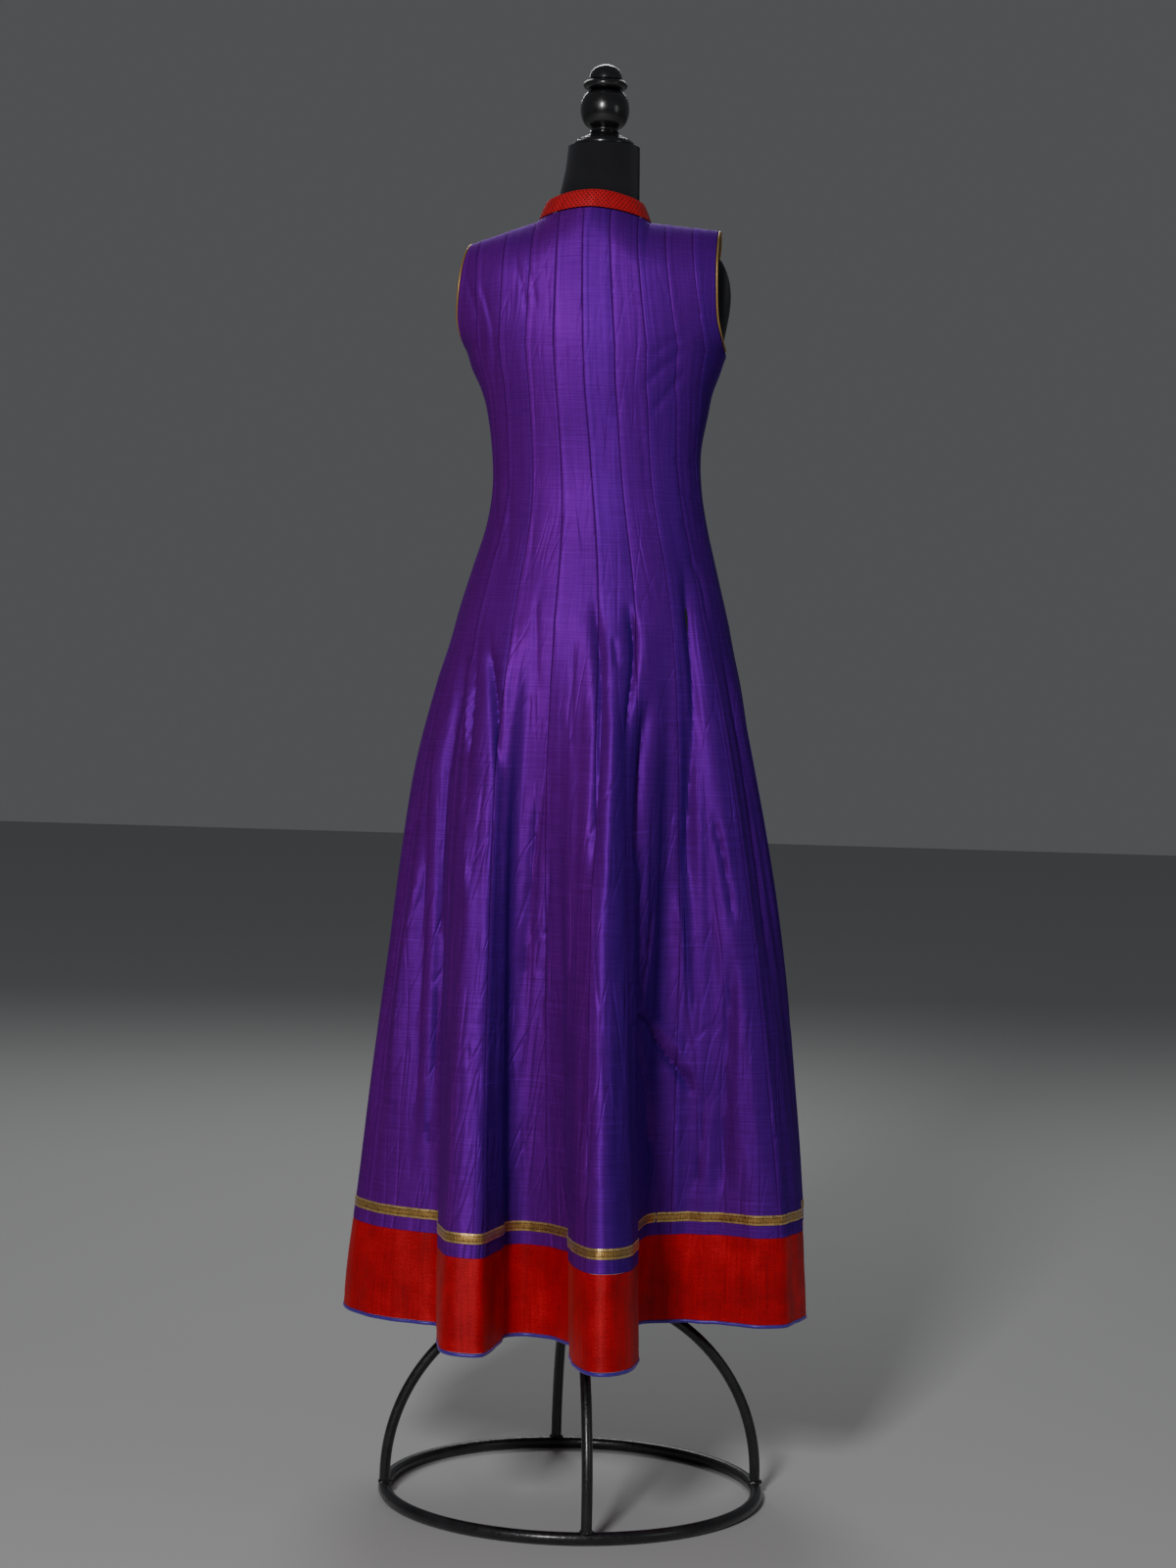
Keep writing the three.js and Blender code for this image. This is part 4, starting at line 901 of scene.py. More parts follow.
def collar_finish():
    """Red figured silk with small dark diamonds in a slanting lattice."""
    material, tree, shader = finish(
        "collar_silk", (0.55, 0.012, 0.018), 0.5, Metallic=0.15, Specular_IOR_Level=0.25,
        Sheen_Weight=0.1, Sheen_Tint=(1.0, 0.25, 0.2, 1))
    place = weave_place(tree)
    parts = put(tree, "ShaderNodeSeparateXYZ", {0: place})
    across, up = parts.outputs["X"], parts.outputs["Y"]
    cells = []
    for sign in (1, -1):
        slant = maths(tree, "MULTIPLY_ADD", up, sign, across)
        share = maths(tree, "FRACT", maths(tree, "MULTIPLY", slant, 1 / DIAMOND))
        cells.append(maths(tree, "ABSOLUTE", maths(tree, "SUBTRACT", share, 0.5)))
    edge = maths(tree, "MAXIMUM", *cells)
    diamond = remap(tree, edge, 0.19, 0.3, 1, 0)
    thread = streaks(tree, place, 900, 60, 2)
    cloud = streaks(tree, place, 60, 60, 2, 4)
    color = mixed(tree, diamond, (0.62, 0.014, 0.02, 1), (0.13, 0.004, 0.014, 1))
    light = remap(tree, thread, 0.3, 0.7, 0.75, 1.2)
    light = sums(tree, light, (spread(tree, cloud), 0.1))
    shaded(tree, shader, color, light)
    bumped(tree, shader, sums(tree, thread, (diamond, -0.8)), 0.4, 0.0005)
    return material


RIBBON_WIDE = (RIBBON_HIGH - RIBBON_LOW) * MM


def ribbon_finish():
    """Metallic woven ribbon: bright selvedges, a browner middle and fine ribs across."""
    material, tree, shader = finish(
        "ribbon_gold", (0.5, 0.3, 0.085), 0.36, Metallic=0.72, Specular_IOR_Level=0.5,
        Sheen_Weight=0.1)
    place = weave_place(tree)
    up = put(tree, "ShaderNodeSeparateXYZ", {0: place}).outputs["Y"]
    share = maths(tree, "MULTIPLY", up, 1 / RIBBON_WIDE)
    ramp = put(tree, "ShaderNodeValToRGB", {"Fac": share})
    stops = [(0.0, (0.62, 0.40, 0.13)), (0.17, (0.66, 0.44, 0.16)), (0.24, (0.3, 0.15, 0.035)),
             (0.4, (0.48, 0.28, 0.08)), (0.62, (0.5, 0.29, 0.085)), (0.76, (0.27, 0.13, 0.03)),
             (0.83, (0.7, 0.48, 0.19)), (1.0, (0.62, 0.40, 0.14))]
    elements = ramp.color_ramp.elements
    while len(elements) < len(stops):
        elements.new(0.5)
    for element, (at, color) in zip(elements, stops):
        element.position = at
        element.color = (*color, 1)
    ribs = streaks(tree, place, 900, 160, 1)
    wear = streaks(tree, place, 70, 300, 3, 5)
    light = remap(tree, ribs, 0.3, 0.7, 0.6, 1.35)
    light = sums(tree, light, (spread(tree, wear), 0.16))
    shaded(tree, shader, ramp.outputs[0], light)
    bumped(tree, shader, sums(tree, ribs, (wear, 0.5)), 0.5, 0.0006)
    return material


def piping_gold_finish():
    """Gold piping bound with slanting thread."""
    material, tree, shader = finish("piping_gold", (0.5, 0.3, 0.09), 0.36, Metallic=0.6)
    place = weave_place(tree)
    wave = put(tree, "ShaderNodeTexWave", {"Vector": place, "Scale": 260, "Distortion": 1.0},
               wave_type="BANDS", bands_direction="DIAGONAL").outputs["Fac"]
    color = mixed(tree, wave, (0.3, 0.14, 0.03, 1), (0.66, 0.43, 0.15, 1))
    colored(tree, shader, color)
    bumped(tree, shader, wave, 0.5, 0.0004)
    return material


def piping_purple_finish():
    material, tree, shader = finish(
        "piping_silk", (0.06, 0.02, 0.34), 0.4, Metallic=0.15, Sheen_Weight=0.3,
        Sheen_Tint=(0.5, 0.4, 1, 1))
    place = weave_place(tree)
    thread = streaks(tree, place, 300, 500, 2)
    color = mixed(tree, remap(tree, thread, 0.3, 0.7), (0.035, 0.012, 0.22, 1),
                  (0.085, 0.03, 0.42, 1))
    colored(tree, shader, color)
    bumped(tree, shader, thread, 0.4, 0.0005)
    return material


def form_finish():
    """Black knitted cover: matt, with fine wales and a soft nap."""
    material, tree, shader = finish(
        "form_cloth", (0.006, 0.006, 0.007), 0.85, Specular_IOR_Level=0.25, Sheen_Weight=0.12,
        Sheen_Roughness=0.6, Sheen_Tint=(0.7, 0.7, 0.8, 1))
    place = body_place(tree)
    grain = noise(tree, place, 900.0, 2.0)
    cloud = noise(tree, place, 18.0, 3.0)
    color = mixed(tree, remap(tree, cloud, 0.3, 0.7), (0.004, 0.004, 0.005, 1),
                  (0.009, 0.009, 0.011, 1))
    colored(tree, shader, color)
    bumped(tree, shader, grain, 0.4, 0.0004)
    return material


def lacquer_finish():
    material, tree, shader = finish(
        "finial_lacquer", (0.008, 0.008, 0.009), 0.28, Coat_Weight=0.5, Coat_Roughness=0.08)
    place = body_place(tree)
    dust = noise(tree, place, 140.0, 4.0)
    rough = remap(tree, dust, 0.3, 0.8, 0.2, 0.4)
    tree.links.new(rough, shader.inputs["Roughness"])
    bumped(tree, shader, dust, 0.05, 0.0008)
    return material


def steel_finish():
    """Black paint over steel tube, uneven from the brush."""
    material, tree, shader = finish(
        "stand_steel", (0.008, 0.008, 0.009), 0.32, Metallic=0.0, Coat_Weight=0.35,
        Coat_Roughness=0.18)
    place = body_place(tree)
    pits = noise(tree, place, 260.0, 4.0)
    flow = noise(tree, place, 45.0, 3.0)
    rough = remap(tree, pits, 0.3, 0.75, 0.24, 0.5)
    tree.links.new(rough, shader.inputs["Roughness"])
    color = mixed(tree, remap(tree, flow, 0.35, 0.75), (0.005, 0.005, 0.006, 1),
                  (0.016, 0.016, 0.018, 1))
    colored(tree, shader, color)
    bumped(tree, shader, sums(tree, pits, (flow, 0.7)), 0.3, 0.001)
    return material


SILK = silk_finish()
BAND_SILK = band_finish()
COLLAR_SILK = collar_finish()
RIBBON_GOLD = ribbon_finish()
PIPING_GOLD = piping_gold_finish()
PIPING_SILK = piping_purple_finish()
FORM_CLOTH = form_finish()
LACQUER = lacquer_finish()
STEEL = steel_finish()

# ------------------------------------------------------------------ kalis
SHELL = 1.1                        # wall of the shown cloth
EDGE_AT = np.array([0.15, 0.75, 1.4, 2.6, 4.2, 5.6, 7.0])      # columns by a kali's first seam
END_AT = np.array([1.7, 0.8, 0.15])                            # and by its last one
BETWEEN = 20                       # even columns between them
TOP_FADE = (0.6, 0.3, 0)           # how much relief the three top rows keep
WEAVE_APART = 1300                 # puts each kali on its own stretch of the weave
NARROW = 26                        # a kali narrower than this has its edge columns closer
KALI_SHEEN_CAST = {                      # each kali's painted sheen cast, for how the shot silk shimmers on it: plus is more magenta
    "back": (0.2, 0.1, -0.1, 0.25, 0.1, -0.35, 0.05, -0.25, 0.1, -0.2),
    "front": (-0.1, 0.25, 0.0, -0.3, 0.2, 0.1, -0.2, 0.15, -0.1, 0.2),
}


def kali_columns(width):
    """Distances from the seam of a kali's columns, closer together near its seams."""
    close = np.minimum(1, width / NARROW)[:, None]
    start, end = EDGE_AT * close, width[:, None] - END_AT * close
    share = np.arange(1, BETWEEN + 1) / (BETWEEN + 1)
    middle = lerp(start[:, -1:], end[:, :1], share)
    return np.concatenate([start, middle, end], axis=1)


def sampled(run, values, at):
    """Each row's values at given distances along it."""
    out = np.empty((*at.shape, values.shape[-1]))
    for r in range(len(run)):
        i = np.clip(np.searchsorted(run[r], at[r]) - 1, 0, run.shape[1] - 2)
        s = (at[r] - run[r, i]) / (run[r, i + 1] - run[r, i])
        out[r] = lerp(values[r, i], values[r, i + 1], s[:, None])
    return out


def make_kali(half, number):
    data = SURFACE[half]
    cut = (slice(FIRST_KALI_ROW, None), slice(FINE * (number - 1), FINE * number + 1))
    p = data["points"][cut]
    run = run_across(p)
    width = run[:, -1]
    at = kali_columns(width)
    values = np.dstack([p, data["normals"][cut], data["relief"][cut]])
    found = sampled(run, values, at)
    points, normals = found[..., :3], unit(found[..., 3:6])
    relief = found[..., 6] + seam_relief(at, width[:, None])
    fade = np.ones(len(p))
    fade[-len(TOP_FADE):] = TOP_FADE
    outer = points + normals * (relief * fade[:, None])[..., None]
    inner = outer - normals * SHELL
    open_shoulder(outer, half)
    open_shoulder(inner, half)
    up = run_along(points[:, points.shape[1] // 2])[:, None] + 0 * at + WEAVE_APART * number
    strip = allowance(at, width[:, None])
    # Where the silk's colour gets painted shade along each seam groove.
    groove = beside_seams(at, width[:, None], GROOVE_SHADE)
    # A painted sheen cast, the same over the whole kali.
    sheen_cast = np.full(at.shape, KALI_SHEEN_CAST[half][number - 1])
    loose = 0.3 + 0.7 * smooth(LOOSE_FROM, LOOSE_FULL, points[..., 2])
    name = f"{half}_kali_{number}"
    obj = shell(f"silk_{name}", outer, inner, at - width[:, None] / 2, up, SILK,
                attributes=[("strip", strip), ("groove", groove), ("sheen_cast", sheen_cast),
                            ("loose", loose)])
    placed(obj, "silk", name)


def open_shoulder(points, half):
    """Keeps the shoulder seam open between back and front."""
    points[-1, :, 1] = TOWARD[half] * np.maximum(TOWARD[half] * points[-1, :, 1], SEAM / 2)


for half in TOWARD:
    for number in range(1, KALIS + 1):
        make_kali(half, number)

# ------------------------------------------------------------------ band, ribbon, hem piping
RING_STRIDE = 2                    # columns of the surface to one of a ring


def around(key, rows, seams=False):
    """A quantity round the whole skirt: the back from left to right, then the front."""
    values = []
    for data in (SURFACE["back"], SURFACE["front"]):
        value = data[key][rows]
        if key == "relief" and seams:
            value = value + seam_relief(data["u"][rows], data["width"][rows])
        values.append(value)
    return np.concatenate([values[0][:, ::RING_STRIDE],
                           values[1][:, ::-1][:, RING_STRIDE:-1:RING_STRIDE]], axis=1)


def measured_round(points):
    """The distance round a level, with a last column for the closing point."""
    closed = np.concatenate([points, points[:, :1]], axis=1)
    run = run_across(closed)
    middle = run[len(run) // 2]
    return np.repeat(middle[None, :], len(run), axis=0)


def ring_shell(name, rows, ups, outer_off, inner_off, material, seams=False):
    points, normals = around("points", rows), around("normals", rows)
    relief = around("relief", rows, seams)[..., None]
    outer = points + normals * (relief + outer_off[:, None, None])
    inner = points + normals * (relief + inner_off[:, None, None])
    across = measured_round(points)
    up = np.repeat((ups - ups[0])[:, None], across.shape[1], axis=1)
    obj = shell(name, outer, inner, across, up, material, wrapped=True)
    return obj


STITCH_UP = 11.5                   # the hem's stitch line over the edge
BAND_GROOVE, STITCH_WIDE = 0.3, 1.2
EDGE_TURN = 0.35                   # how far a top edge is turned in
RIBBON_UNDER, RIBBON_FACE, RIBBON_CROWN = 0.12, 0.55, 0.25      # over the cloth, and the middle's rise
HEM_TUBE, HEM_TUBE_IN = (1.6, 2.0), 0.75      # half sizes of the piping, and its depth in the edge
TUBE_SIDES = 10


def make_band():
    flat = np.zeros(len(BAND_UPS))
    outer = flat - BAND_GROOVE * np.exp(-((BAND_UPS - STITCH_UP) / STITCH_WIDE) ** 2)
    outer[-1] -= EDGE_TURN
    obj = ring_shell("hem_band_silk", BAND_ROWS, BAND_UPS, outer, flat - CLOTH, BAND_SILK)
    placed(obj, "band_silk", "hem_band")


def make_ribbon():
    ups = UPS[RIBBON_ROWS]
    share = (ups - ups[0]) / (ups[-1] - ups[0])
    crown = RIBBON_FACE + RIBBON_CROWN * np.sin(math.pi * share)
    obj = ring_shell("ribbon_gold_woven", RIBBON_ROWS, ups, crown, 0 * ups + RIBBON_UNDER,
                     RIBBON_GOLD, seams=True)
    placed(obj, "ribbon_gold", "gold_ribbon")


def tube_rings(path, normals, wide, high, sides, looped=True):
    """Rings of an oval tube along a path, wide along the normals."""
    if looped:
        ahead = unit(np.roll(path, -1, axis=0) - np.roll(path, 1, axis=0))
    else:
        ahead = unit(np.gradient(path, axis=0))
    side = unit(normals - ahead * np.einsum("ij,ij->i", normals, ahead)[:, None])
    top = np.cross(ahead, side)
    angle = round_angles(sides)
    return (path[:, None] + side[:, None] * (wide * np.cos(angle))[None, :, None]
            + top[:, None] * (high * np.sin(angle))[None, :, None])


def make_hem_piping():
    row = slice(1, 2)
    points, normals = around("points", row)[0], around("normals", row)[0]
    path = points + normals * (around("relief", row)[0] - HEM_TUBE_IN)[:, None]
    rings = tube_rings(path, normals, *HEM_TUBE, TUBE_SIDES)
    obj = loft("hem_piping_silk", rings, PIPING_SILK, looped=True)
    placed(obj, "piping_silk", "hem_piping")


make_band()
make_ribbon()
make_hem_piping()

# ------------------------------------------------------------------ armhole piping
PIPING_RADIUS = 1.3
PIPING_CLEAR = 0.35
PIPING_STEPS, PIPING_SOFTENED = 150, 6      # rings of the tube, and passes that smooth its path


def armhole_path(side):
    column, beside = (0, 2) if side > 0 else (-1, -3)
    path = []
    rows = range(UNDERARM_ROW, UNDERARM_ROW + UPPER_ROWS + 1)
    for half, order in (("back", rows), ("front", list(rows)[-2:0:-1])):
        p, n = SURFACE[half]["points"], SURFACE[half]["normals"]
        for r in order:
            point = p[r, column]
            run = unit(p[min(r + 1, len(p) - 1), column] - p[max(r - 1, UNDERARM_ROW), column])
            out = point - p[r, beside]
            out = unit(out - run * np.dot(out, run))
            if r == UNDERARM_ROW:
                out = np.array([0, 0, 1.0])
            if r == rows[-1]:
                out = np.array([side, 0, 0.0])
            path.append(point + out * (PIPING_RADIUS + PIPING_CLEAR) - n[r, column] * CLOTH / 2)
    path = np.array(path)
    for _ in range(PIPING_SOFTENED):
        path = (np.roll(path, 1, axis=0) + 2 * path + np.roll(path, -1, axis=0)) / 4
    return path


def make_armhole_piping(side, name):
    path = evenly(armhole_path(side), PIPING_STEPS)
    normals = np.repeat(np.array([[side, 0, 0.0]]), len(path), axis=0)
    rings = tube_rings(path, normals, PIPING_RADIUS, PIPING_RADIUS, TUBE_SIDES)
    obj = loft(f"{name}_piping_gold", rings, PIPING_GOLD, looped=True)
    placed(obj, "ribbon_gold", f"{name}_armhole_piping")


def evenly(path, count):
    """A closed path with its points an even distance apart."""
    closed = np.concatenate([path, path[:1]])
    run = run_along(closed)
    at = np.linspace(0, run[-1], count, endpoint=False)
    return np.stack([np.interp(at, run, closed[:, k]) for k in range(3)], -1)


make_armhole_piping(1, "left")
make_armhole_piping(-1, "right")

# ------------------------------------------------------------------ collar
COLLAR_HIGH, COLLAR_LEAN, COLLAR_SLIT = 20, 8, 5
COLLAR_OVER, COLLAR_INSET = 1.35, 0.15
COLLAR_BELLY, COLLAR_WAVE = 0.5, 0.25
COLLAR_COLUMNS = 60                # to a quarter of the neck
COLLAR_ROWS = 12


def neck_seam():
    def at(half, share):
        middle, power = NECK_SEAM[half]
        x = NECK_X + NECK_HALF * share
        z = lerp(middle, NECK_SIDE_Z, np.abs(share) ** power)
        return np.stack([x, TOWARD[half] * depth(half, x, z), z], -1)
    i = np.arange(COLLAR_COLUMNS + 1)
    quarter = math.pi / 2 / COLLAR_COLUMNS
    front = lerp(COLLAR_SLIT / 2 / NECK_HALF, 1, np.sin(quarter * i))
    back = np.cos(quarter * np.arange(2 * COLLAR_COLUMNS))
    return np.concatenate([at("front", front[:-1]), at("back", back), at("front", -front[::-1])])


def make_collar():
    foot = neck_seam()
    inward = -foot.copy()
    inward[:, 2] = 0
    inward = unit(inward)
    share = np.linspace(0, 1, COLLAR_ROWS + 1)[:, None, None]
    belly = COLLAR_BELLY * np.sin(math.pi * share)
    rise = COLLAR_OVER + COLLAR_HIGH * share
    outer = foot + inward * (COLLAR_LEAN * share + COLLAR_INSET - belly)
    outer = outer + np.array([0, 0, 1.0]) * rise
    run = run_along(foot)
    wave = COLLAR_WAVE * np.sin(run / 9) * np.sin(run / 31 + 1)
    outer[..., 2] += share[..., 0] * wave
    inner = outer + inward * CLOTH
    outer[-1] += inward * EDGE_TURN
    across = np.repeat(run[None, :], COLLAR_ROWS + 1, axis=0)
    up = np.repeat(COLLAR_HIGH * share[:, :, 0], len(run), axis=1)
    obj = shell("collar_figured_silk", outer, inner, across, up, COLLAR_SILK)
    placed(obj, "collar_silk", "collar")


make_collar()

# ------------------------------------------------------------------ dress form
# Height, half width, depth behind and before the axis, the section's roundness and its place in x.
FORM_SHOULDERS = [
    (1515, 41, 41, 41, 2, 0), (1490, 42.5, 41, 43, 2, 1), (1458, 46, 41, 45, 2, 4),
    (1439, 47.5, 43, 46, 2, 5), (1430, 49, 44, 46, 2, 6), (1424, 60, 46, 49, 1.6, 7),
    (1416, 88, 51, 53, 1.5, 8), (1407, 115, 55, 56, 1.5, 8), (1397, 136, 61, 60, 1.7, 8),
    (1383, 150, 70, 67, 2.1, 8), (1355, 156, 79, 84, 2.3, 8), (1325, 152, 84, 102, 2.4, 7),
    (1304, 144, 87, 110, 2.4, 4),
]
FORM_WAIST = (1285, 1244, 1200, 1156, 1112, 1068, 1024, 990)
FORM_HIPS = [(940, 154, 116, 108, 2.4, 0), (880, 160, 114, 108, 2.4, 0),
             (822, 160, 108, 104, 2.4, 0), (810, 152, 100, 96, 2.4, 0)]
FORM_CLEAR = 4
FORM_SKIN = 1.0                    # how far the shown form stays inside its solid
FORM_SIDES, FORM_LEVELS = 128, 150
FORM_SHARES, FORM_HEIGHTS = (0, 0.35, 0.9, 1), (1515, 1390, 860, 810)      # where its levels lie


def form_table():
    waist = [(z, min(float(along(BODY, LEFT, z)), float(along(BODY, RIGHT, z))) - FORM_CLEAR,
              float(along(BODY, BACK, z)) - FORM_CLEAR, float(along(BODY, FRONT, z)) - FORM_CLEAR,
              SECTION_POWER, 0) for z in FORM_WAIST]
    return np.array(FORM_SHOULDERS + waist + FORM_HIPS, float)


def make_form():
    table = form_table()
    share = np.linspace(0, 1, FORM_LEVELS)
    z = np.interp(share, FORM_SHARES, FORM_HEIGHTS)
    angle = round_angles(FORM_SIDES)
    cos, sin = np.cos(angle), np.sin(angle)
    levels = [np.interp(-z, -table[:, 0], table[:, k]) for k in range(1, 6)]
    soften = np.hanning(9) / np.hanning(9).sum()
    half, back, front, power, shift = (np.convolve(np.pad(a, 4, mode="edge"), soften, "valid")
                                       for a in levels)
    exponent = (2 / power)[:, None]
    x = shift[:, None] + (half - FORM_SKIN)[:, None] * np.sign(cos) * np.abs(cos) ** exponent
    deep = np.where(sin > 0, (back - FORM_SKIN)[:, None], (front - FORM_SKIN)[:, None])
    y = deep * np.sign(sin) * np.abs(sin) ** exponent
    rings = np.dstack([x, y, np.repeat(z[:, None], FORM_SIDES, axis=1)])
    obj = loft("form_cover", rings, FORM_CLOTH)
    placed(obj, "form_cloth", "form_torso")


def make_turned(name, outline, sides, z, material, sharp=40):
    outline = np.array(outline, float)
    angle = round_angles(sides)
    ring = np.stack([np.cos(angle), np.sin(angle), 0 * angle], -1)
    rings = outline[1:-1, 0][:, None, None] * ring + np.array([0, 0, 1.0]) * (
        outline[1:-1, 1] + z)[:, None, None]
    return loft(name, rings, material, sharp=sharp)


def bulge(radius, low, high, root, steps):
    angle = math.pi * np.arange(steps + 1) / steps
    wide = root + (radius - root) * np.sin(angle)
    return list(zip(wide, lerp(low, high, (1 - np.cos(angle)) / 2)))


def arc(start, end, bow, steps):
    """From one outline point to another, bowed out to the right of the way by a distance."""
    a, b = np.array(start, float), np.array(end, float)
    way = unit(b - a)
    side = np.array([way[1], -way[0]])
    t = np.arange(steps + 1) / steps
    return [tuple(p) for p in lerp(a, b, t[:, None]) + side * (bow * np.sin(math.pi * t))[:, None]]


FLANGE_Z, KNOB_Z = 1515.3, 1531
FINIAL_SIDES = 96


def make_finial():
    flange = [(0, 0), (32, 0), *arc((32.6, 0.1), (34, 1.5), 0.3, 4), (34, 4),
              *arc((33.6, 4.6), (30, 7.5), -0.8, 8), *arc((29.2, 7.9), (22, 11), -1.2, 10),
              *arc((21, 11.6), (17, 14), -0.6, 6), (16, 15.4), (0, 15.4)]
    obj = make_turned("neck_flange_turned", flange, FINIAL_SIDES, FLANGE_Z, LACQUER)
    placed(obj, "finial_lacquer", "neck_flange")
    knob = [(0, 0), (17, 0), *arc((17, 0.4), (15.2, 4.4), -0.5, 6), *bulge(27.3, 5, 47, 14, 40),
            *bulge(24.8, 47.8, 58, 17, 20), *arc((17.6, 58.6), (18.7, 60), 0.2, 3),
            *arc((18.7, 60.4), (4.7, 75.7), 3.6, 22), (0, 76)]
    obj = make_turned("finial_turned", knob, FINIAL_SIDES, KNOB_Z, LACQUER)
    placed(obj, "finial_lacquer", "finial")


# ------------------------------------------------------------------ stand
RING_RADIUS, RING_TUBE = 210, 7
RING_Z = RING_TUBE * math.cos(math.pi / 10)
LEG_TUBE, LEG_BEND_Z = 6, 22
LEG_TURN, LEGS = math.radians(10), 4
LEG_FOOT = 2 * RING_Z + 0.7
RING_WELD, HUB_WELD = (7.6, 7.6, 3.4), (3.2, 8.0, 8.0)      # half sizes of the weld beads
HUB_RADIUS, HUB_LOW, HUB_HIGH = 15, 212, 262
POLE_RADIUS, POLE_HIGH = 11, 809.7
RING_STEPS, RING_SIDES = 220, 24
LEG_STEPS, LEG_SIDES, TURNED_SIDES = 60, 20, 48


def make_ring():
    angle = round_angles(RING_STEPS)
    path = np.stack([RING_RADIUS * np.cos(angle), RING_RADIUS * np.sin(angle),
                     np.full_like(angle, RING_Z)], -1)
    outward = np.stack([np.cos(angle), np.sin(angle), 0 * angle], -1)
    rings = tube_rings(path, outward, RING_TUBE, RING_TUBE, RING_SIDES)
    rings[..., 2] = np.maximum(rings[..., 2], 0)
    placed(loft("ring_tube", rings, STEEL, looped=True), "stand_steel", "base_ring")


def turned_z(points, angle):
    c, s = math.cos(angle), math.sin(angle)
    return points @ np.array([[c, s, 0], [-s, c, 0], [0, 0, 1]])


def leg_path():
    reach = math.acos((HUB_RADIUS + SEAM) / RING_RADIUS)
    angle = np.linspace(0, reach, LEG_STEPS)
    bend = np.stack([RING_RADIUS * np.cos(angle), 0 * angle,
                     LEG_BEND_Z + RING_RADIUS * np.sin(angle)], -1)
    return np.concatenate([[[RING_RADIUS, 0, LEG_FOOT]], bend])


def lump(center, size, seed, name):
    """A weld bead: a squashed ball with a knobbly face."""
    draw = np.random.default_rng(seed)
    turns = draw.uniform(0, 2 * math.pi, (4, 2))
    lat, lon = np.linspace(-1.45, 1.45, 15), round_angles(28)
    la, lo = np.meshgrid(lat, lon, indexing="ij")
    knob = 1 + 0.09 * sum(np.sin((k + 3) * lo + turns[k, 0]) * np.cos((k + 2) * la + turns[k, 1])
                          for k in range(4))
    ball = np.dstack([np.cos(la) * np.cos(lo), np.cos(la) * np.sin(lo), np.sin(la)])
    return loft(name, center + ball * knob[..., None] * np.array(size), STEEL)


def make_legs():
    path = leg_path()
    across = np.repeat(np.array([[0, 1.0, 0]]), len(path), axis=0)
    rings = tube_rings(path, across, LEG_TUBE, LEG_TUBE, LEG_SIDES, looped=False)
    for i in range(LEGS):
        angle = LEG_TURN + 2 * math.pi * i / LEGS
        obj = loft(f"leg_tube_{i + 1}", turned_z(rings, angle), STEEL)
        placed(obj, "stand_steel", f"leg_{i + 1}")
        foot = turned_z(np.array([RING_RADIUS, 0, 2 * RING_Z + 0.5]), angle)
        placed(lump(foot, RING_WELD, 30 + i, f"ring_weld_{i + 1}"), "stand_steel")
        top = turned_z(np.array([HUB_RADIUS + 1.0, 0, LEG_BEND_Z + RING_RADIUS]), angle)
        placed(lump(top, HUB_WELD, 50 + i, f"hub_weld_{i + 1}"), "stand_steel")


def make_pole():
    hub = [(0, HUB_LOW), (HUB_RADIUS - 1, HUB_LOW), (HUB_RADIUS, HUB_LOW + 1),
           (HUB_RADIUS, HUB_HIGH - 3), (HUB_RADIUS - 0.9, HUB_HIGH - 0.9),
           (HUB_RADIUS - 3, HUB_HIGH), (0, HUB_HIGH)]
    placed(make_turned("hub_turned", hub, TURNED_SIDES, 0, STEEL), "stand_steel", "hub")
    low = HUB_HIGH + SEAM
    pole = [(0, low), (POLE_RADIUS, low), (POLE_RADIUS, POLE_HIGH - 1),
            (POLE_RADIUS - 1, POLE_HIGH), (0, POLE_HIGH)]
    placed(make_turned("pole_tube", pole, TURNED_SIDES, 0, STEEL), "stand_steel", "pole")


make_form()
make_finial()
make_ring()
make_legs()
make_pole()


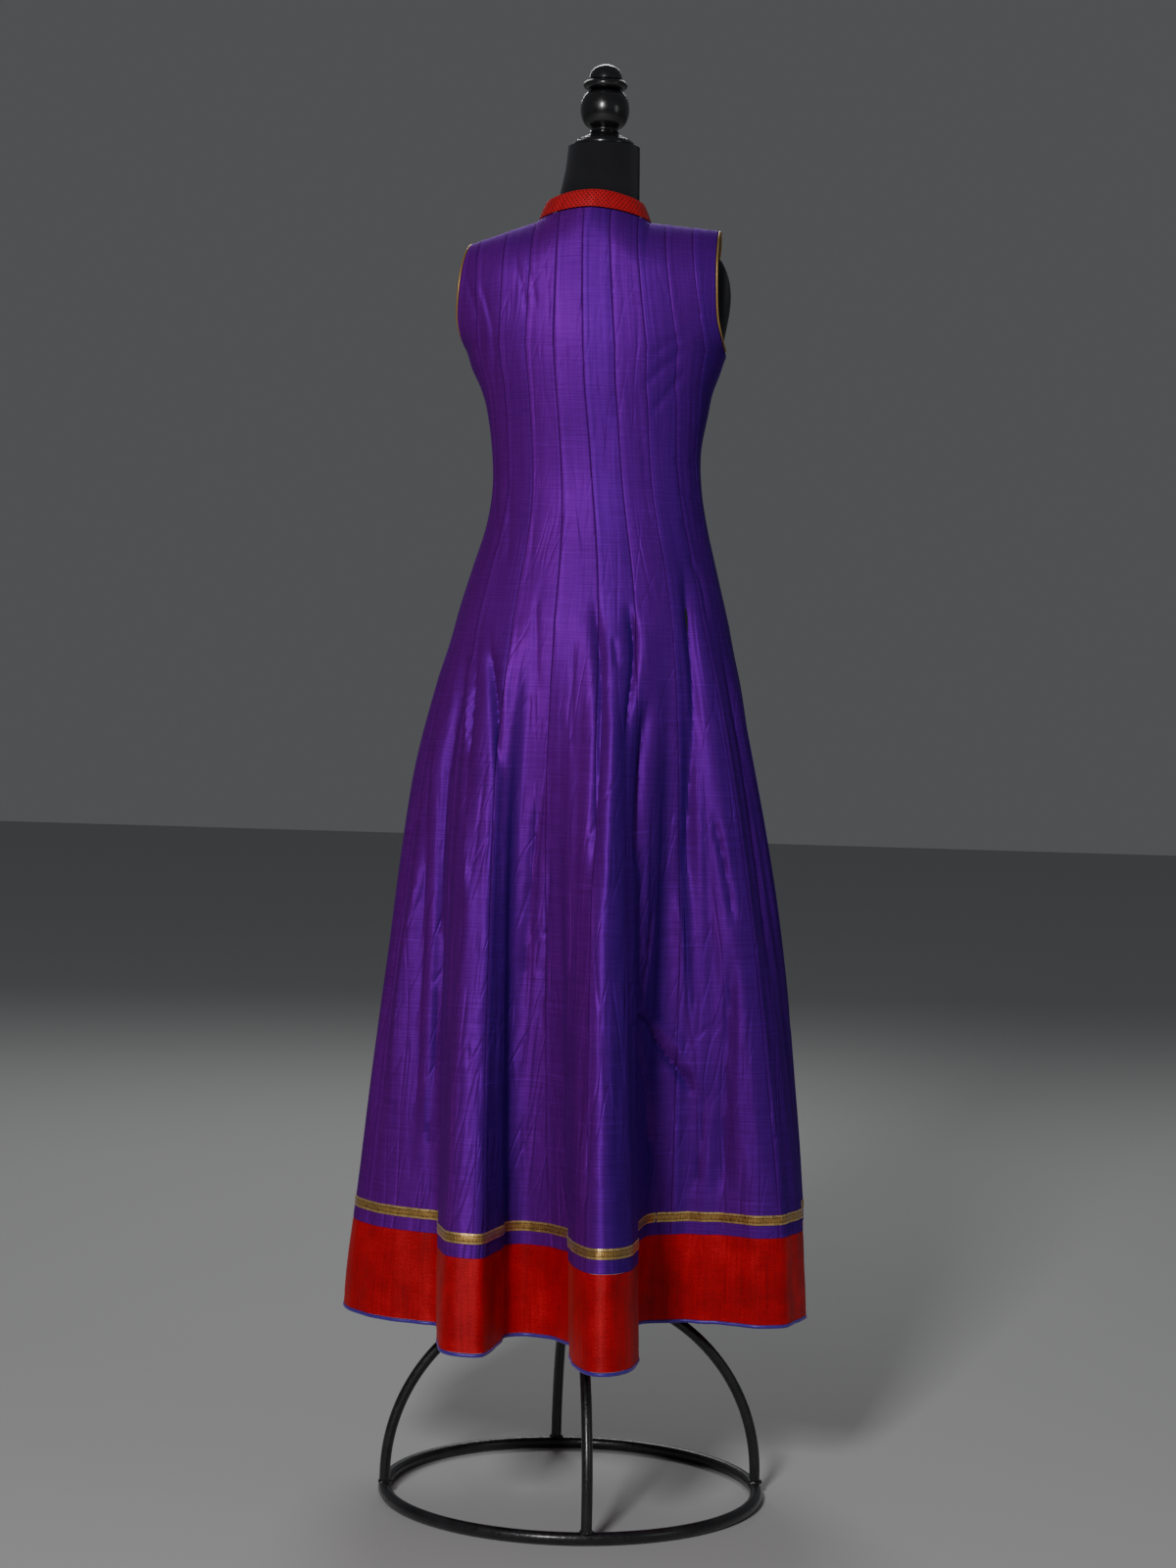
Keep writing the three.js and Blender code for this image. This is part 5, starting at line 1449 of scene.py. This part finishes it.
# ------------------------------------------------------------------ floor, light and camera
def make_stage():
    bpy.ops.mesh.primitive_plane_add(size=30, location=(0, 0, -0.0005))
    floor = bpy.context.object
    floor.name = "floor"
    floor.data.materials.append(finish("pale_floor", (0.52, 0.52, 0.515), 0.8)[0])
    world = bpy.data.worlds.new("studio")
    bpy.context.scene.world = world
    world.use_nodes = True
    sky = world.node_tree.nodes["Background"]
    sky.inputs["Color"].default_value = (0.6, 0.62, 0.65, 1)
    sky.inputs["Strength"].default_value = 0.14


def soft_light(name, place, aim, size, power):
    lamp = bpy.data.lights.new(name, "AREA")
    lamp.shape = "RECTANGLE"
    lamp.size, lamp.size_y = size
    lamp.energy = power
    obj = bpy.data.objects.new(name, lamp)
    obj.location = place
    obj.rotation_euler = (Vector(aim) - Vector(place)).to_track_quat("-Z", "Y").to_euler()
    bpy.context.scene.collection.objects.link(obj)


# The photographer stands behind the wearer, a little to the wearer's right of the middle.
CAMERA_AZIMUTH = math.radians(185)
CAMERA_AWAY = 3.463                # metres from the stand's axis
CAMERA_HIGH = 0.914
LENS = 70.76                       # millimetres, on a frame 36 mm on its long side
PITCH = math.atan(100 / 3145)      # downwards
ROLL = math.atan(0.0253)           # the picture's upright leans to the right


def make_camera():
    data = bpy.data.cameras.new("camera")
    data.lens = LENS
    camera = bpy.data.objects.new("camera", data)
    back = Vector((math.sin(CAMERA_AZIMUTH), -math.cos(CAMERA_AZIMUTH), 0))
    place = Vector(AXIS) + back * CAMERA_AWAY
    place.z = CAMERA_HIGH
    ahead = (-back * math.cos(PITCH) - Vector((0, 0, 1)) * math.sin(PITCH)).normalized()
    turn = ahead.to_track_quat("-Z", "Y").to_matrix()
    right, up = turn.col[0].copy(), turn.col[1].copy()
    shown_right = right * math.cos(ROLL) + up * math.sin(ROLL)
    shown_up = up * math.cos(ROLL) - right * math.sin(ROLL)
    for k in range(3):
        turn[k][0], turn[k][1] = shown_right[k], shown_up[k]
    camera.rotation_euler = turn.to_euler()
    camera.location = place
    bpy.context.scene.collection.objects.link(camera)
    bpy.context.scene.camera = camera


make_stage()
soft_light("key", (0.7, 4.1, 2.6), (0, 0, 0.72), (0.6, 0.9), 114)
soft_light("fill", (-3.4, 1.9, 1.7), (0, 0, 0.8), (1.0, 1.4), 5)
soft_light("front_key", (0.5, -3.2, 3.2), (0, 0, 0.7), (1.6, 1.8), 34)
make_camera()
